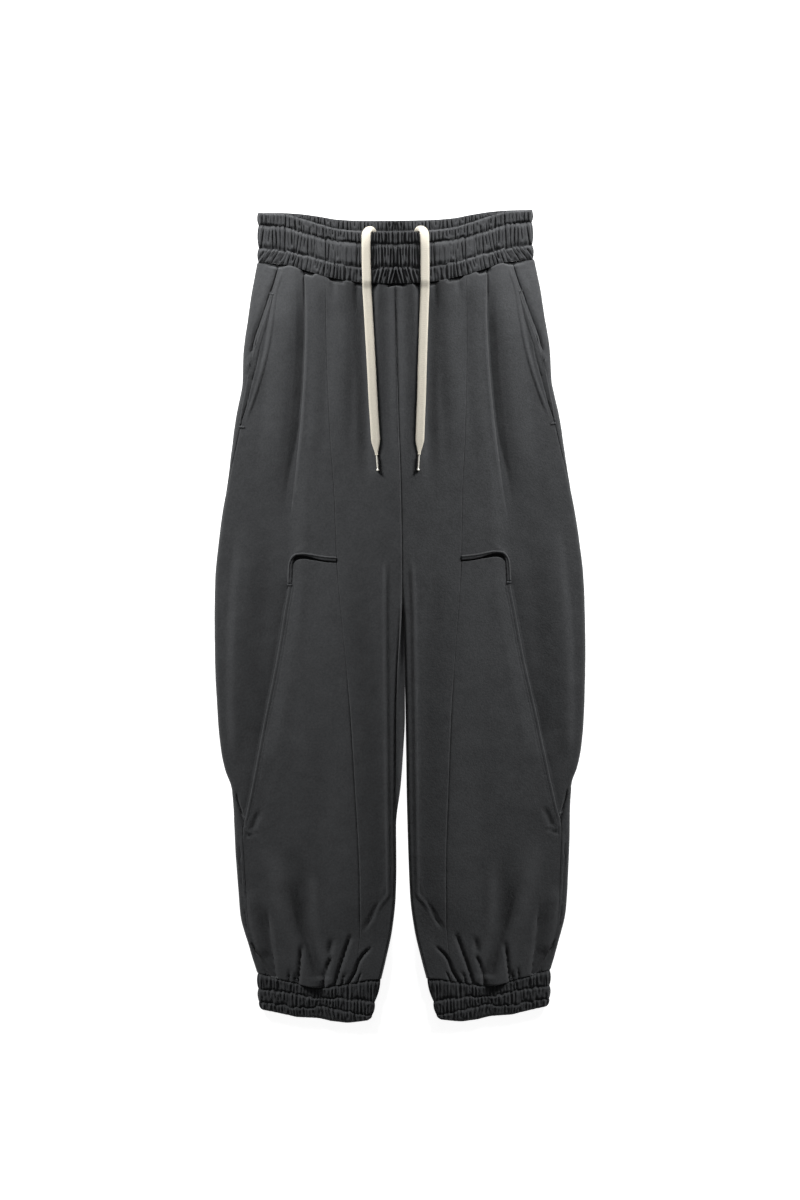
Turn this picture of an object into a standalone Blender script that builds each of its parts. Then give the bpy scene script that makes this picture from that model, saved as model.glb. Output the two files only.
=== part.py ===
"""Balloon-leg sweatpants laid flat with the front up.

The waist points to +Y, the wearer's left leg lies at +X, and the back panels
rest on the plane Z = 0.  Every table below is in millimetres, measured from
the middle of the garment.

Across each leg the cloth follows one line.  Its coordinate q runs over the
front from the inner leg outward and equals the distance from the middle line
there.  It then turns round the outline and comes back underneath.
"""

import math
from collections import namedtuple

import bmesh
import bpy
import numpy as np

MM = 0.001

# Driving dimensions, in millimetres
CLOTH = 2.0  # heavy brushed fleece
HALF_CLOTH = CLOTH / 2
SEAM_GAP = 0.3  # between neighbouring pieces
HALF_GAP = SEAM_GAP / 2
TURN = 3.3  # mid-cloth radius where a layer turns round the outline
TURN_ARC = math.pi * TURN / 2  # from the front to the outline, along the cloth
TURN_TOP = HALF_CLOTH + 2 * TURN  # mid-cloth height of the front at its turn
FRONT_HEIGHT = 7.0  # mid-cloth height of the front on its open stretches
LOWEST_FRONT = 3.35  # mid-cloth height of a front that touches the back layer
TURN_EASE = 32.0  # width over which the front rises to its turn
INNER_EASE = 12.0  # width over which the front drops to the inner leg's edge
CROTCH = 45.0  # the legs part below this
CROTCH_EASE = 70.0

WAIST_LEVEL = 430.0  # row that becomes the waist seam
CUFF_LEVEL = -455.0  # row that becomes the cuff seam
WAIST_BEND = 110.0  # length over which rows bend to the waist seam's curve
CUFF_BEND = 115.0
WAIST_RISE = 1.4  # the front climbs to the band over WAIST_RISE_LENGTH
WAIST_RISE_LENGTH = 48.0
CUFF_RISE = 1.6
CUFF_RISE_LENGTH = 75.0

BAND_BACK_THICK = 5.0
BAND_FLOOR = BAND_BACK_THICK + SEAM_GAP
BAND_GROOVE = 2.2  # thickness of the front band at its sewn lines
BAND_CROWN = 5.8  # and between them
BAND_RELIEF = 0.9  # its gathers stand this far to either side
CUFF_BACK_THICK = 4.4
CUFF_FLOOR = CUFF_BACK_THICK + SEAM_GAP
CUFF_GROOVE = 2.2
CUFF_CROWN = 5.0
CUFF_RELIEF = 0.8

WAIST_GATHERS = 68
STRIP_GATHERS = 40
CUFF_GATHERS = 30

TAPE_WIDTH = 11.3
TAPE_THICK = 2.2
TAPE_CLEAR = 0.45  # between the tape and what it lies on
WELT_CLEAR = 0.55
TAPE_EDGE = 4.5  # the tape rests on the highest of three places this far apart
AGLET_RADIUS = 1.1
AGLET_TIP_RADIUS = 2.1

# Half width of the laid-flat body at each height
OUTLINE = (
    (446, 172.6), (430, 175.6), (410, 179.6), (370, 185.8), (330, 191.5), (292, 193.2),
    (270, 197.4), (250, 201.8), (210, 207.5), (170, 213.0), (130, 220.0), (90, 225.6),
    (50, 229.8), (10, 231.1), (-30, 231.5), (-90, 230.2), (-130, 228.4), (-170, 224.2),
    (-190, 219.8), (-210, 212.8), (-230, 210.8), (-290, 208.4), (-330, 206.1),
    (-370, 203.1), (-410, 192.8), (-430, 187.1), (-446, 182.0),
)  # fmt: skip

# Inner edge: the centre seam above the crotch and the inner leg below it.
# Where the legs touch, the edge leans to +X, and the left one's back shows past its front.
InnerEdge = namedtuple("InnerEdge", "y plus_x minus_front minus_back")
INNER_EDGES = (
    InnerEdge(440, -0.8, -0.8, -0.8),
    InnerEdge(408, -0.6, -0.6, -0.6),
    InnerEdge(233, 1.8, 1.8, 1.8),
    InnerEdge(170, 3.4, 3.4, 3.4),
    InnerEdge(96, 3.9, 3.9, 3.9),
    InnerEdge(25, 4.0, 3.4, 4.0),
    InnerEdge(-20, 4.8, 1.0, 4.8),
    InnerEdge(-50, 5.2, -1.5, 5.2),
    InnerEdge(-80, 5.6, -3.5, 5.3),
    InnerEdge(-125, 6.0, -5.5, 5.0),
    InnerEdge(-170, 6.2, -6.3, 2.2),
    InnerEdge(-210, 6.2, -7.0, -1.2),
    InnerEdge(-262, 6.8, -8.0, -7.6),
    InnerEdge(-310, 7.8, -8.2, -7.8),
    InnerEdge(-350, 9.2, -9.4, -9.2),
    InnerEdge(-390, 13.9, -13.9, -13.9),
    InnerEdge(-430, 22.7, -22.7, -22.7),
    InnerEdge(-455, 29.0, -29.0, -29.0),
)

# Seams of the front, as (height, distance from the middle)
CURVED_SEAM = (
    (440, 87.7), (384, 87.9), (334, 87.4), (234, 84.4), (147, 79.6), (72, 77.6),
    (-54, 67.9), (-124, 62.6), (-211, 58.3), (-329, 53.6), (-375, 53.4), (-430, 57.3),
    (-456, 59.5),
)  # fmt: skip
POCKET_LINE = (
    (440, 112.4), (379, 110.8), (321, 113.5), (276, 116.8), (232, 120.8), (157, 130.7),
    (117, 134.6), (74.6, 134.2), (69.7, 136.3), (43.5, 137.9), (7, 144.1), (-53, 154.6),
    (-93, 163.0), (-136, 172.3), (-175, 179.8), (-205, 185.8), (-238, 192.8),
    (-266, 198.6), (-302, 197.2), (-345, 195.2), (-390, 191.3), (-411, 186.6),
    (-428, 178.6), (-450, 169.5),
)  # fmt: skip
POCKET_CORNER_LEVEL = 74.6  # the knee pocket's rounded upper corner
POCKET_TOP_INNER = 72.0  # height of the pocket's top edge at the curved seam
POCKET_TOP_OUTER = 77.7  # and before it turns into the corner
CORNER_SHARE = 0.9  # share of the pocket's width before its corner
TIP_LEVEL = -248.0  # lower point of the side front
TIP_WIDTH = 3.2

# Side seam, as its distance past the outline along the cloth: negative on the
# front, where it is the hip pocket's opening, and positive underneath
SIDE_SEAM = (
    (446, -26.0), (430, -27.4), (402, -25.6), (371, -19.0), (343, -15.4), (290, -11.8),
    (238, -8.4), (194, -4.4), (155, 0.0), (120, 10.0), (70, 24.0), (0, 32.0),
    (-80, 32.0), (-150, 19.0), (-195, 7.0), (-218, -1.0), (-236, -8.6), (-248, -12.2),
)  # fmt: skip

# Waist seam and cuff seam, as (distance from the middle, height)
WAIST_SEAM_FRONT = (
    (0, 415.5), (30, 416.0), (60, 419.5), (90, 426.0), (110, 432.0), (130, 438.5),
    (150, 442.0), (174, 444.0),
)  # fmt: skip
WAIST_SEAM_BACK = ((0, 429.0), (174, 444.5))
CUFF_SEAM = (
    (28, -452.5), (43, -453.0), (60, -455.8), (82, -459.2), (94, -461.2), (104, -461.9),
    (114, -461.0), (130, -457.6), (150, -452.0), (167, -447.4), (183, -442.4),
)  # fmt: skip

# Rows of the body between the waist seam and the cuff seam
ROW_LEVELS = (
    WAIST_LEVEL, 424, 414, 399, 380, 352, 321, 292, 270, 240, 212, 192, 174, 156, 138,
    106, POCKET_CORNER_LEVEL, 69.7, 43.5, 7, -45, -95, -145, -180, -194, -206, -218,
    -232, TIP_LEVEL, -266, -300, -335, -362, -385, -405, -422, -437, -447, CUFF_LEVEL,
)  # fmt: skip

# Soft ridges and creases of the front.  line holds (distance from the middle, height)
# from the top down, inside and outside are the widths of the two slopes, height is
# negative for a crease, and fade_top and fade_low are the lengths of its two ends.
Fold = namedtuple("Fold", "name line inside outside height fade_top fade_low")
FOLDS = (
    Fold("main crease", ((112, 440), (111, 379), (116, 276), (130, 157), (136, 100)), 4, 19, -3.9, 1, 90),
    Fold("main ridge", ((134, 440), (138, 350), (147, 240), (157, 120)), 20, 24, 2.2, 1, 110),
    Fold("thigh ridge", ((101, 440), (99, 350), (104, 240), (112, 150)), 14, 11, 1.6, 1, 80),
    Fold("cord crease", ((49, 440), (52, 350), (55, 200)), 13, 11, -1.6, 1, 130),
    Fold("cord ridge", ((70, 440), (71, 360), (70, 260)), 11, 12, 1.6, 1, 90),
    Fold("centre ridge", ((15, 440), (15, 340), (16, 240)), 10, 12, 1.3, 1, 100),
    Fold("gather 1", ((29, 440), (30, 350)), 7, 7, -2.8, 1, 70),
    Fold("gather 2", ((48, 440), (51, 370)), 7, 8, -2.6, 1, 50),
    Fold("gather 3", ((70, 440), (72, 395)), 7, 7, -3.2, 1, 30),
    Fold("gather 4", ((92, 440), (92, 405)), 6, 6, -1.2, 1, 22),
    Fold("gather 5", ((111, 440), (111, 380)), 4, 8, -1.6, 1, 45),
    Fold("gather 6", ((146, 446), (147, 425)), 8, 4, -2.4, 1, 18),
    Fold(
        "seam ridge",
        ((13, 80), (18, 15), (19.3, -80), (19.4, -229), (19.6, -320), (28, -357)),
        5, 5, 0.9, 40, 25,
    ),
    Fold("pocket slope", ((150, 30), (170, -60), (190, -150), (201, -225)), 16, 20, -1.6, 60, 25),
    Fold("balloon ridge", ((196, 130), (206, 20), (208, -90), (204, -170)), 26, 22, 1.2, 90, 60),
    Fold("knee ridge", ((104, 30), (108, -120), (112, -260)), 34, 34, 1.2, 90, 110),
    Fold("cuff ridge", ((176, -290), (160, -345), (143, -392), (124, -452)), 15, 17, 2.8, 40, 8),
    Fold("cuff valley", ((150, -285), (133, -348), (120, -400), (109, -462)), 12, 13, -3.2, 40, 1),
    Fold("crease a", ((169, -368), (163.3, -402), (161, -447)), 5, 9, -3.4, 28, 1),
    Fold("crease s", ((145, -420), (145, -455)), 4, 4, -3.0, 18, 1),
    Fold("crease b", ((128, -410), (131, -455)), 4, 5, -3.8, 26, 1),
    Fold("crease c", ((90, -416), (97, -437), (100, -462)), 5, 6, -4.4, 18, 1),
    Fold("crease d", ((67, -400), (77.5, -432), (86, -460)), 5, 6, -4.4, 26, 1),
    Fold("crease e", ((40, -413), (57, -432), (71, -459)), 6, 6, -4.4, 18, 1),
    Fold("crease g", ((27, -352), (38, -374), (52, -396)), 6, 6, -2.2, 18, 18),
    Fold("outer crease", ((190, -402), (180, -425), (168, -446)), 5, 5, -3.4, 20, 1),
)  # fmt: skip

# Shares of a panel's width at which its columns stand
CENTRE_COLUMNS = (0, 0.1, 0.22, 0.34, 0.45, 0.56, 0.69, 0.82, 1)
UPPER_COLUMNS = (0, 0.22, 0.42, 0.6, 0.76, CORNER_SHARE, 1)
SIDE_CELLS = 8
POCKET_CELLS = 14
BACK_CELLS = 12
TURN_CROWDING = 5.0  # columns crowd this much at the turn
TURN_CROWD_WIDTH = 5.5
# The knee pocket's columns follow the creases above the cuff, which start at these distances
POCKET_CREASE_COLUMNS = (84, 99.5, 109, 131, 145, 161)
POCKET_CREASE_TOPS = (67, 86, 118, 128, 146, 164)  # and stand here at CREASE_TOP_LEVEL
CREASE_TOP_LEVEL = -402.0
EVEN_LEVEL = -335.0  # above this the pocket's columns are even

# Heights where the band's four lines cross, from the middle to the side
BandLine = namedtuple("BandLine", "x edge line_1 line_2")
WAISTBAND_LINES = (
    BandLine(0, 481.3, 464.6, 435.1),
    BandLine(43.5, 481.8, 466.2, 436.4),
    BandLine(72, 484.6, 468.8, 440.4),
    BandLine(96, 491.3, 475.4, 446.6),
    BandLine(120, 498.8, 482.6, 453.6),
    BandLine(140, 504.0, 487.4, 458.0),
    BandLine(172, 506.0, 490.5, 461.8),
)
BACK_TOP_EDGE = (
    (0, 494.1), (43.5, 494.6), (72, 496.4), (96, 500.6), (120, 504.0), (140, 505.4), (172, 506.0),
)  # fmt: skip
CuffLine = namedtuple("CuffLine", "share line_1 line_2 hem")
CUFF_LINES = (
    CuffLine(0.0, -457.4, -478.6, -488.5),
    CuffLine(0.1, -461.8, -480.2, -491.2),
    CuffLine(0.22, -466.6, -482.9, -494.8),
    CuffLine(0.35, -470.2, -486.6, -498.4),
    CuffLine(0.53, -473.4, -485.6, -499.9),
    CuffLine(0.66, -474.8, -489.0, -503.6),
    CuffLine(0.82, -478.0, -494.2, -506.0),
    CuffLine(1.0, -480.2, -497.6, -503.8),
)
# Half width of the waistband, and the two ends of a cuff, at the edges and lines
WAISTBAND_HALF_WIDTHS = (170.8, 170.4, 170.6, 171.2)
CUFF_OUTER_ENDS = (182.0, 181.6, 181.0, 177.6)
CUFF_INNER_ENDS = (29.2, 36.8, 40.2, 46.4)
ROW_BULGE = 1.6  # a row stands this far out between its lines, at the ends

# Route of a drawstring from inside the band to its metal end, as distance from the
# middle and height along the garment
TapePoint = namedtuple("TapePoint", "x y")
TAPE_ROUTE = (
    TapePoint(36.4, 474.0), TapePoint(36.5, 462.0), TapePoint(36.5, 445.0),
    TapePoint(36.3, 430.0), TapePoint(36.2, 420.0), TapePoint(36.0, 408.0), TapePoint(35.3, 394.0),
    TapePoint(34.0, 366.0), TapePoint(32.5, 333.0), TapePoint(31.2, 302.0),
    TapePoint(30.0, 271.0), TapePoint(28.7, 245.0), TapePoint(27.5, 221.0),
    TapePoint(26.8, 208.0), TapePoint(26.3, 201.5),
)  # fmt: skip
# It comes up narrow over the band's edge, turns and widens, at these places and heights
TapeStart = namedtuple("TapeStart", "x y z")
TAPE_START = (
    TapeStart(25.8, 479.2, 12.4), TapeStart(26.9, 481.7, 12.7), TapeStart(29.6, 482.9, 13.2),
    TapeStart(32.8, 482.0, 13.5), TapeStart(35.4, 478.9, 13.6),
)  # fmt: skip
TAPE_START_SCALE = 0.4
TAPE_START_LENGTH = 17.0
TAPE_TAPER_LENGTH = 20.0
TAPE_END_SCALE = 0.34
AGLET_START = (26.2, 200.9)
AGLET_END = (24.9, 182.0)


def smooth_line(pairs):
    """A smooth function through (station, value) pairs that never overshoots them."""
    stations, values = np.array(sorted(pairs), float).T
    steps = np.diff(stations)
    slopes = np.diff(values) / steps
    tangents = np.concatenate([slopes[:1], np.zeros(len(slopes) - 1), slopes[-1:]])
    for i in range(1, len(slopes)):
        before, after = slopes[i - 1], slopes[i]
        if before * after > 0:
            near, far = 2 * steps[i] + steps[i - 1], steps[i] + 2 * steps[i - 1]
            tangents[i] = (near + far) / (near / before + far / after)

    def value(at):
        at = np.clip(at, stations[0], stations[-1])
        k = np.clip(np.searchsorted(stations, at) - 1, 0, len(steps) - 1)
        t = (at - stations[k]) / steps[k]
        rising = t * t * (3 - 2 * t)
        bend = t * (1 - t) * steps[k] * ((1 - t) * tangents[k] - t * tangents[k + 1])
        return values[k] * (1 - rising) + values[k + 1] * rising + bend

    return value


def ease(t):
    """0 to 1 with level ends."""
    t = np.clip(t, 0.0, 1.0)
    return t * t * (3 - 2 * t)


outline = smooth_line(OUTLINE)
curved_seam = smooth_line(CURVED_SEAM)
pocket_line = smooth_line(POCKET_LINE)
side_seam_past_outline = smooth_line(SIDE_SEAM)
waist_seam_front = smooth_line(WAIST_SEAM_FRONT)
waist_seam_back = smooth_line(WAIST_SEAM_BACK)
cuff_seam = smooth_line(CUFF_SEAM)
fold_lines = [smooth_line([(y, x) for x, y in fold.line]) for fold in FOLDS]


def inner_edge(side, back=False):
    """Distance of a leg's inner edge from the middle, outward positive, as a function of y."""
    if side > 0:
        return smooth_line([(row.y, row.plus_x) for row in INNER_EDGES])
    if back:
        return smooth_line([(row.y, -row.minus_back) for row in INNER_EDGES])
    return smooth_line([(row.y, -row.minus_front) for row in INNER_EDGES])


def turn_start(y):
    """Where the front starts to turn round the outline."""
    return outline(y) - HALF_CLOTH - TURN


def turn_middle(y):
    return turn_start(y) + TURN_ARC


def side_seam(y):
    return turn_middle(y) + side_seam_past_outline(y)


def folds_height(q, y):
    """Sum of the soft ridges and creases at a place on the front."""
    total = np.zeros(np.broadcast(q, y).shape)
    for fold, line in zip(FOLDS, fold_lines):
        away = q - line(y)
        width = np.where(away < 0, fold.inside, fold.outside)
        slope = np.clip(1 - (away / width) ** 2, 0, 1) ** 2
        top, low = fold.line[0][1], fold.line[-1][1]
        along = ease((top - y) / fold.fade_top) * ease((y - low) / fold.fade_low)
        total = total + fold.height * slope * along
    return total


def front_height(q, y, side):
    """Mid-cloth height of the front."""
    waist_distance = waist_seam_front(q) - y
    cuff_distance = y - cuff_seam(q)
    rise = WAIST_RISE * (1 - ease(waist_distance / WAIST_RISE_LENGTH))
    rise = rise + CUFF_RISE * (1 - ease(cuff_distance / CUFF_RISE_LENGTH))
    open_height = FRONT_HEIGHT + rise + folds_height(q, y)
    open_height = np.maximum(open_height, LOWEST_FRONT)
    to_turn = 1 - ease((turn_start(y) - q) / TURN_EASE)
    height = open_height + (TURN_TOP - open_height) * to_turn
    from_inner = ease((q - inner_edge(side)(y)) / INNER_EASE)
    apart = ease((CROTCH - y) / CROTCH_EASE)
    dropped = LOWEST_FRONT + (height - LOWEST_FRONT) * from_inner
    return height + (dropped - height) * apart


def cloth_point(q, y, side):
    """Mid-cloth point of the body, as it lies."""
    start = turn_start(y)
    angle = np.clip((q - start) / TURN, 0, math.pi)
    under = q - start - 2 * TURN_ARC
    x = np.where(q < start, q, start + TURN * np.sin(angle))
    x = np.where(under > 0, start - under, x)
    front = front_height(np.minimum(q, start), y, side)
    height = np.where(q < start, front, HALF_CLOTH + TURN * (1 + np.cos(angle)))
    height = np.where(under > 0, HALF_CLOTH, height)
    return np.stack([x, y + 0 * x, height], axis=-1)


def cloth_normal(q, y, side):
    """Outward direction of the cloth."""
    step = 0.05
    across = cloth_point(q + step, y, side) - cloth_point(q - step, y, side)
    along = cloth_point(q, y + step, side) - cloth_point(q, y - step, side)
    normal = np.cross(across, along)
    return normal / np.linalg.norm(normal, axis=-1, keepdims=True)


def row_height(q, level, under):
    """Height on the garment of a place in a row: rows bend to the waist and cuff seams."""
    waist = waist_seam_back(q) if under else waist_seam_front(q)
    to_waist = ease((level - WAIST_LEVEL + WAIST_BEND) / WAIST_BEND)
    to_cuff = ease((CUFF_LEVEL + CUFF_BEND - level) / CUFF_BEND)
    return level + to_waist * (waist - WAIST_LEVEL) + to_cuff * (cuff_seam(q) - CUFF_LEVEL)


def on_line(line, level, under=False):
    """Where a seam, given as q at each height, crosses a row."""
    y = float(level)
    for _ in range(6):
        q = float(line(y))
        folded = 2 * float(turn_middle(y)) - q if q > turn_middle(y) else q
        y = float(row_height(folded, level, under))
    return q, y


def row_places(shares, first, last, level, under=False):
    """(q, y) of the points of a row between two crossings, at the given shares of its width."""
    places = []
    middle = float(turn_middle(first[1]))
    for share in shares:
        q = first[0] + (last[0] - first[0]) * share
        if q > middle:
            x = 2 * middle - q
            y = float(row_height(x, level, True))
            places.append((2 * float(turn_middle(y)) - x, y))
        else:
            y = float(row_height(q, level, under))
            near_turn = float(ease((q - middle + TURN_EASE) / (TURN_EASE - TURN_ARC)))
            places.append((q + (float(turn_middle(y)) - middle) * near_turn, y))
    places[0] = first
    places[-1] = last
    return places


def crowded_shares(first, last, crowd_at, cells):
    """Shares of a width whose spacing is closest at the turn."""
    fine = np.linspace(first, last, 400)
    spread = fine + TURN_CROWDING * TURN_CROWD_WIDTH * np.arctan((fine - crowd_at) / TURN_CROWD_WIDTH)
    even = np.linspace(spread[0], spread[-1], cells + 1)
    return (np.interp(even, spread, fine) - first) / (last - first)


def new_material(name, colour, roughness, metallic=0.0):
    material = bpy.data.materials.new(name)
    material.use_nodes = True
    shader = material.node_tree.nodes["Principled BSDF"]
    shader.inputs["Base Color"].default_value = (*colour, 1.0)
    shader.inputs["Roughness"].default_value = roughness
    shader.inputs["Metallic"].default_value = metallic
    material.diffuse_color = (*colour, 1.0)
    return material


def wall_object(name, outer, inner, material, missing=None):
    """A closed wall between two grids of points.  missing marks cells that are left out."""
    rows, columns = outer.shape[:2]
    mesh = bmesh.new()
    kept = np.ones((rows - 1, columns - 1), bool) if missing is None else ~missing
    corners = np.zeros((rows, columns), bool)
    for i, j in zip(*np.nonzero(kept)):
        corners[i : i + 2, j : j + 2] = True
    skins = []
    for grid in (outer, inner):
        skins.append({(i, j): mesh.verts.new(grid[i, j] * MM) for i, j in zip(*np.nonzero(corners))})
    sides = {}
    for i, j in zip(*np.nonzero(kept)):
        ring = [(i, j), (i, j + 1), (i + 1, j + 1), (i + 1, j)]
        mesh.faces.new([skins[0][corner] for corner in ring])
        mesh.faces.new([skins[1][corner] for corner in reversed(ring)])
        for a, b in zip(ring, ring[1:] + ring[:1]):
            edge = (min(a, b), max(a, b))
            sides[edge] = edge not in sides
    for (a, b), open_side in sides.items():
        if open_side:  # split alike on both sides of a seam, so that neighbours stay clear
            mesh.faces.new([skins[0][a], skins[0][b], skins[1][b]])
            mesh.faces.new([skins[0][a], skins[1][b], skins[1][a]])
    bmesh.ops.recalc_face_normals(mesh, faces=mesh.faces)
    return finished_object(name, mesh, material)


def finished_object(name, mesh, material):
    data = bpy.data.meshes.new(name)
    mesh.to_mesh(data)
    mesh.free()
    data.materials.append(material)
    data.shade_smooth()
    data.set_sharp_from_angle(angle=math.radians(50))
    made = bpy.data.objects.new(name, data)
    bpy.context.scene.collection.objects.link(made)
    return made


def placed(points, side):
    """Points of a half as they lie on its side of the middle."""
    return points * np.array([side, 1.0, 1.0])


def panel(name, places, side, material, missing=None):
    """A cloth panel through a grid of (q, y) places."""
    q, y = np.moveaxis(np.array(places, float), -1, 0)
    middle = cloth_point(q, y, side)
    normal = cloth_normal(q, y, side)
    for row in (0, -1):  # cut square, to meet the bands
        normal[row, :, 1] = 0
        normal[row] /= np.linalg.norm(normal[row], axis=-1, keepdims=True)
    outer = placed(middle + normal * HALF_CLOTH, side)
    inner = placed(middle - normal * HALF_CLOTH, side)
    return wall_object(name, outer, inner, material, missing)


def drawn_in(places, top=True, low=True, first=True, last=True):
    """Moves a grid's edges in by half a seam gap."""
    places = np.array(places, float)
    if first:
        places[:, 0, 0] += HALF_GAP
    if last:
        places[:, -1, 0] -= HALF_GAP
    if top:
        places[0, :, 1] -= HALF_GAP
    if low:
        places[-1, :, 1] += HALF_GAP
    return places


def build_front_centre(side, name, material):
    edge = inner_edge(side)
    places = []
    for level in ROW_LEVELS:
        first = on_line(edge, level)
        last = on_line(curved_seam, level)
        places.append(row_places(CENTRE_COLUMNS, first, last, level))
    return panel(f"front_centre_{name}", drawn_in(places), side, material)


def pocket_top(share):
    """Height of the knee pocket's top edge across its width."""
    straight = POCKET_TOP_INNER + (POCKET_TOP_OUTER - POCKET_TOP_INNER) * share / CORNER_SHARE
    return straight if share <= CORNER_SHARE else POCKET_CORNER_LEVEL


def side_front_row(level):
    """A row of the side front, from the curved seam or the pocket's edge to the side seam."""
    seam = on_line(curved_seam, level)
    edge = on_line(pocket_line, level)
    side = on_line(side_seam, level, under=-200 < level < 150)
    if level == POCKET_CORNER_LEVEL:
        width = edge[0] - seam[0]
        upper = [(seam[0] + width * share, pocket_top(share)) for share in UPPER_COLUMNS]
    else:
        upper = row_places(UPPER_COLUMNS, seam, edge, level)
    if level == TIP_LEVEL:
        side = (edge[0] + TIP_WIDTH, edge[1])
    shares = crowded_shares(edge[0], side[0], float(turn_middle(level)), SIDE_CELLS)
    return upper[:-1] + row_places(shares, edge, side, level)


def build_side_front(side, name, material):
    levels = [level for level in ROW_LEVELS if level >= TIP_LEVEL]
    corner_row = levels.index(POCKET_CORNER_LEVEL)
    corner_column = len(UPPER_COLUMNS) - 1
    places = drawn_in([side_front_row(level) for level in levels])
    places[corner_row, : corner_column + 1, 1] += HALF_GAP
    places[corner_row:, corner_column, 0] += HALF_GAP
    missing = np.zeros((len(levels) - 1, places.shape[1] - 1), bool)
    missing[corner_row:, :corner_column] = True
    return panel(f"front_side_{name}", places, side, material, missing)


def pocket_shares(level, first, last):
    """Columns of the knee pocket: even at its top, and along the creases above the cuff."""
    even = np.append(np.linspace(0, CORNER_SHARE, POCKET_CELLS), 1.0)
    if level >= EVEN_LEVEL:
        return even
    down = (CREASE_TOP_LEVEL - level) / (CREASE_TOP_LEVEL - CUFF_LEVEL)
    down = min(max(down, 0.0), 1.0)
    creases = [top + (foot - top) * down for top, foot in zip(POCKET_CREASE_TOPS, POCKET_CREASE_COLUMNS)]
    valleys = [first[0], *creases, last[0]]
    columns = []
    for here, beyond in zip(valleys, valleys[1:]):
        columns += [here, (here + beyond) / 2]
    creased = (np.array(columns + [last[0]]) - first[0]) / (last[0] - first[0])
    turned = ease((EVEN_LEVEL - level) / (EVEN_LEVEL - CREASE_TOP_LEVEL))
    return even + (creased - even) * turned


def build_knee_pocket(side, name, material):
    places = []
    for level in ROW_LEVELS:
        if level > POCKET_CORNER_LEVEL:
            continue
        first = on_line(curved_seam, level)
        last = on_line(pocket_line, level)
        shares = pocket_shares(level, first, last)
        row = row_places(shares, first, last, level)
        if level == POCKET_CORNER_LEVEL:
            row = [(q, pocket_top(share)) for (q, _), share in zip(row, shares)]
        places.append(row)
    return panel(f"knee_pocket_{name}", drawn_in(places), side, material)


def back_outer_edge(level):
    """Where the back meets the front: the side seam, and the pocket's line below its tip."""
    if level > TIP_LEVEL:
        return on_line(side_seam, level, under=-200 < level < 150)
    edge = on_line(pocket_line, level)
    return (edge[0] + TIP_WIDTH, edge[1]) if level == TIP_LEVEL else edge


def back_row(level, side):
    """A row of the back, from where it meets the front to the centre seam or inner leg."""
    edge = inner_edge(side, back=True)
    first = back_outer_edge(level)
    y = float(level)
    for _ in range(6):
        x = float(edge(y))
        y = float(row_height(x, level, True))
    last = (2 * float(turn_middle(y)) - x, y)
    shares = crowded_shares(first[0], last[0], float(turn_middle(first[1])), BACK_CELLS)
    return row_places(shares, first, last, level)


def build_back(side, name, material):
    places = [back_row(level, side) for level in ROW_LEVELS]
    return panel(f"back_{name}", drawn_in(places), side, material)


def gathered_columns(count, start, end):
    """Crests and valleys of uneven gathers, as places between start and end, and their relief."""
    widths = np.array([1 + 0.28 * math.sin(2.4 * i) for i in range(count)])
    edges = np.concatenate([[0], np.cumsum(widths)]) / widths.sum()
    shares = []
    relief = []
    for here, beyond in zip(edges, edges[1:]):
        shares += [here, here + (beyond - here) * 0.55]
        relief += [-1.0, 1.0]
    shares.append(1.0)
    relief.append(-1.0)
    return start + (end - start) * np.array(shares), np.array(relief)


TunnelPlace = namedtuple("TunnelPlace", "upper_line share crown")
TUNNEL_PLACES = (
    TunnelPlace(0, 0.0, 0.35), TunnelPlace(0, 0.28, 0.95), TunnelPlace(0, 0.74, 0.9),
    TunnelPlace(1, 0.0, 0.0), TunnelPlace(1, 0.26, 1.0), TunnelPlace(1, 0.76, 1.0),
    TunnelPlace(2, 0.0, 0.0), TunnelPlace(2, 0.26, 0.9), TunnelPlace(2, 0.76, 0.85),
    TunnelPlace(2, 1.0, 0.4),
)  # fmt: skip


def tunnel_rows(lines, ends, floor, groove, crown, relief, pattern):
    """Outer and inner points of a gathered band with three tunnel rows.

    lines holds four functions of the share across and of x, ends four pairs of end places,
    groove and crown are heights above the floor, and pattern is the gathers' relief.
    """
    places, waves = pattern
    outer = []
    inner = []
    for tunnel in TUNNEL_PLACES:
        k, share = tunnel.upper_line, tunnel.share
        bulge = ROW_BULGE * 4 * share * (1 - share)
        first = ends[k][0] + (ends[k + 1][0] - ends[k][0]) * share
        last = ends[k][1] + (ends[k + 1][1] - ends[k][1]) * share
        outwards = math.copysign(bulge, last - first)
        x = (first - outwards) + (last - first + 2 * outwards) * places
        y = lines[k](places, x) + (lines[k + 1](places, x) - lines[k](places, x)) * share
        from_end = np.minimum(np.abs(x - x[0]), np.abs(x - x[-1]))
        rounded = np.sqrt(1 - (1 - np.clip(from_end / 7.0, 0, 1)) ** 2 * 0.8)
        uneven = 1 + 0.35 * np.sin(places * 61 + 2.1 * k)
        strength = relief * (0.35 + 0.65 * tunnel.crown) * uneven
        height = groove + (crown - groove) * tunnel.crown + strength * waves
        outer.append(np.stack([x, y, floor + height * rounded], axis=-1))
        inner.append(np.stack([x, y, floor + 0 * x], axis=-1))
    return np.array(outer), np.array(inner)


def build_waistband_front(material):

    def line(function, move=0.0):
        return lambda share, x: function(np.abs(x)) + move

    lines = [line(smooth_line([(row.x, row[k]) for row in WAISTBAND_LINES])) for k in (1, 2, 3)]
    lines.append(line(waist_seam_front, SEAM_GAP))
    ends = [(-width, width) for width in WAISTBAND_HALF_WIDTHS]
    pattern = gathered_columns(WAIST_GATHERS, 0.0, 1.0)
    outer, inner = tunnel_rows(lines, ends, BAND_FLOOR, BAND_GROOVE, BAND_CROWN, BAND_RELIEF, pattern)
    return wall_object("waistband_front", outer, inner, material)


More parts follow.
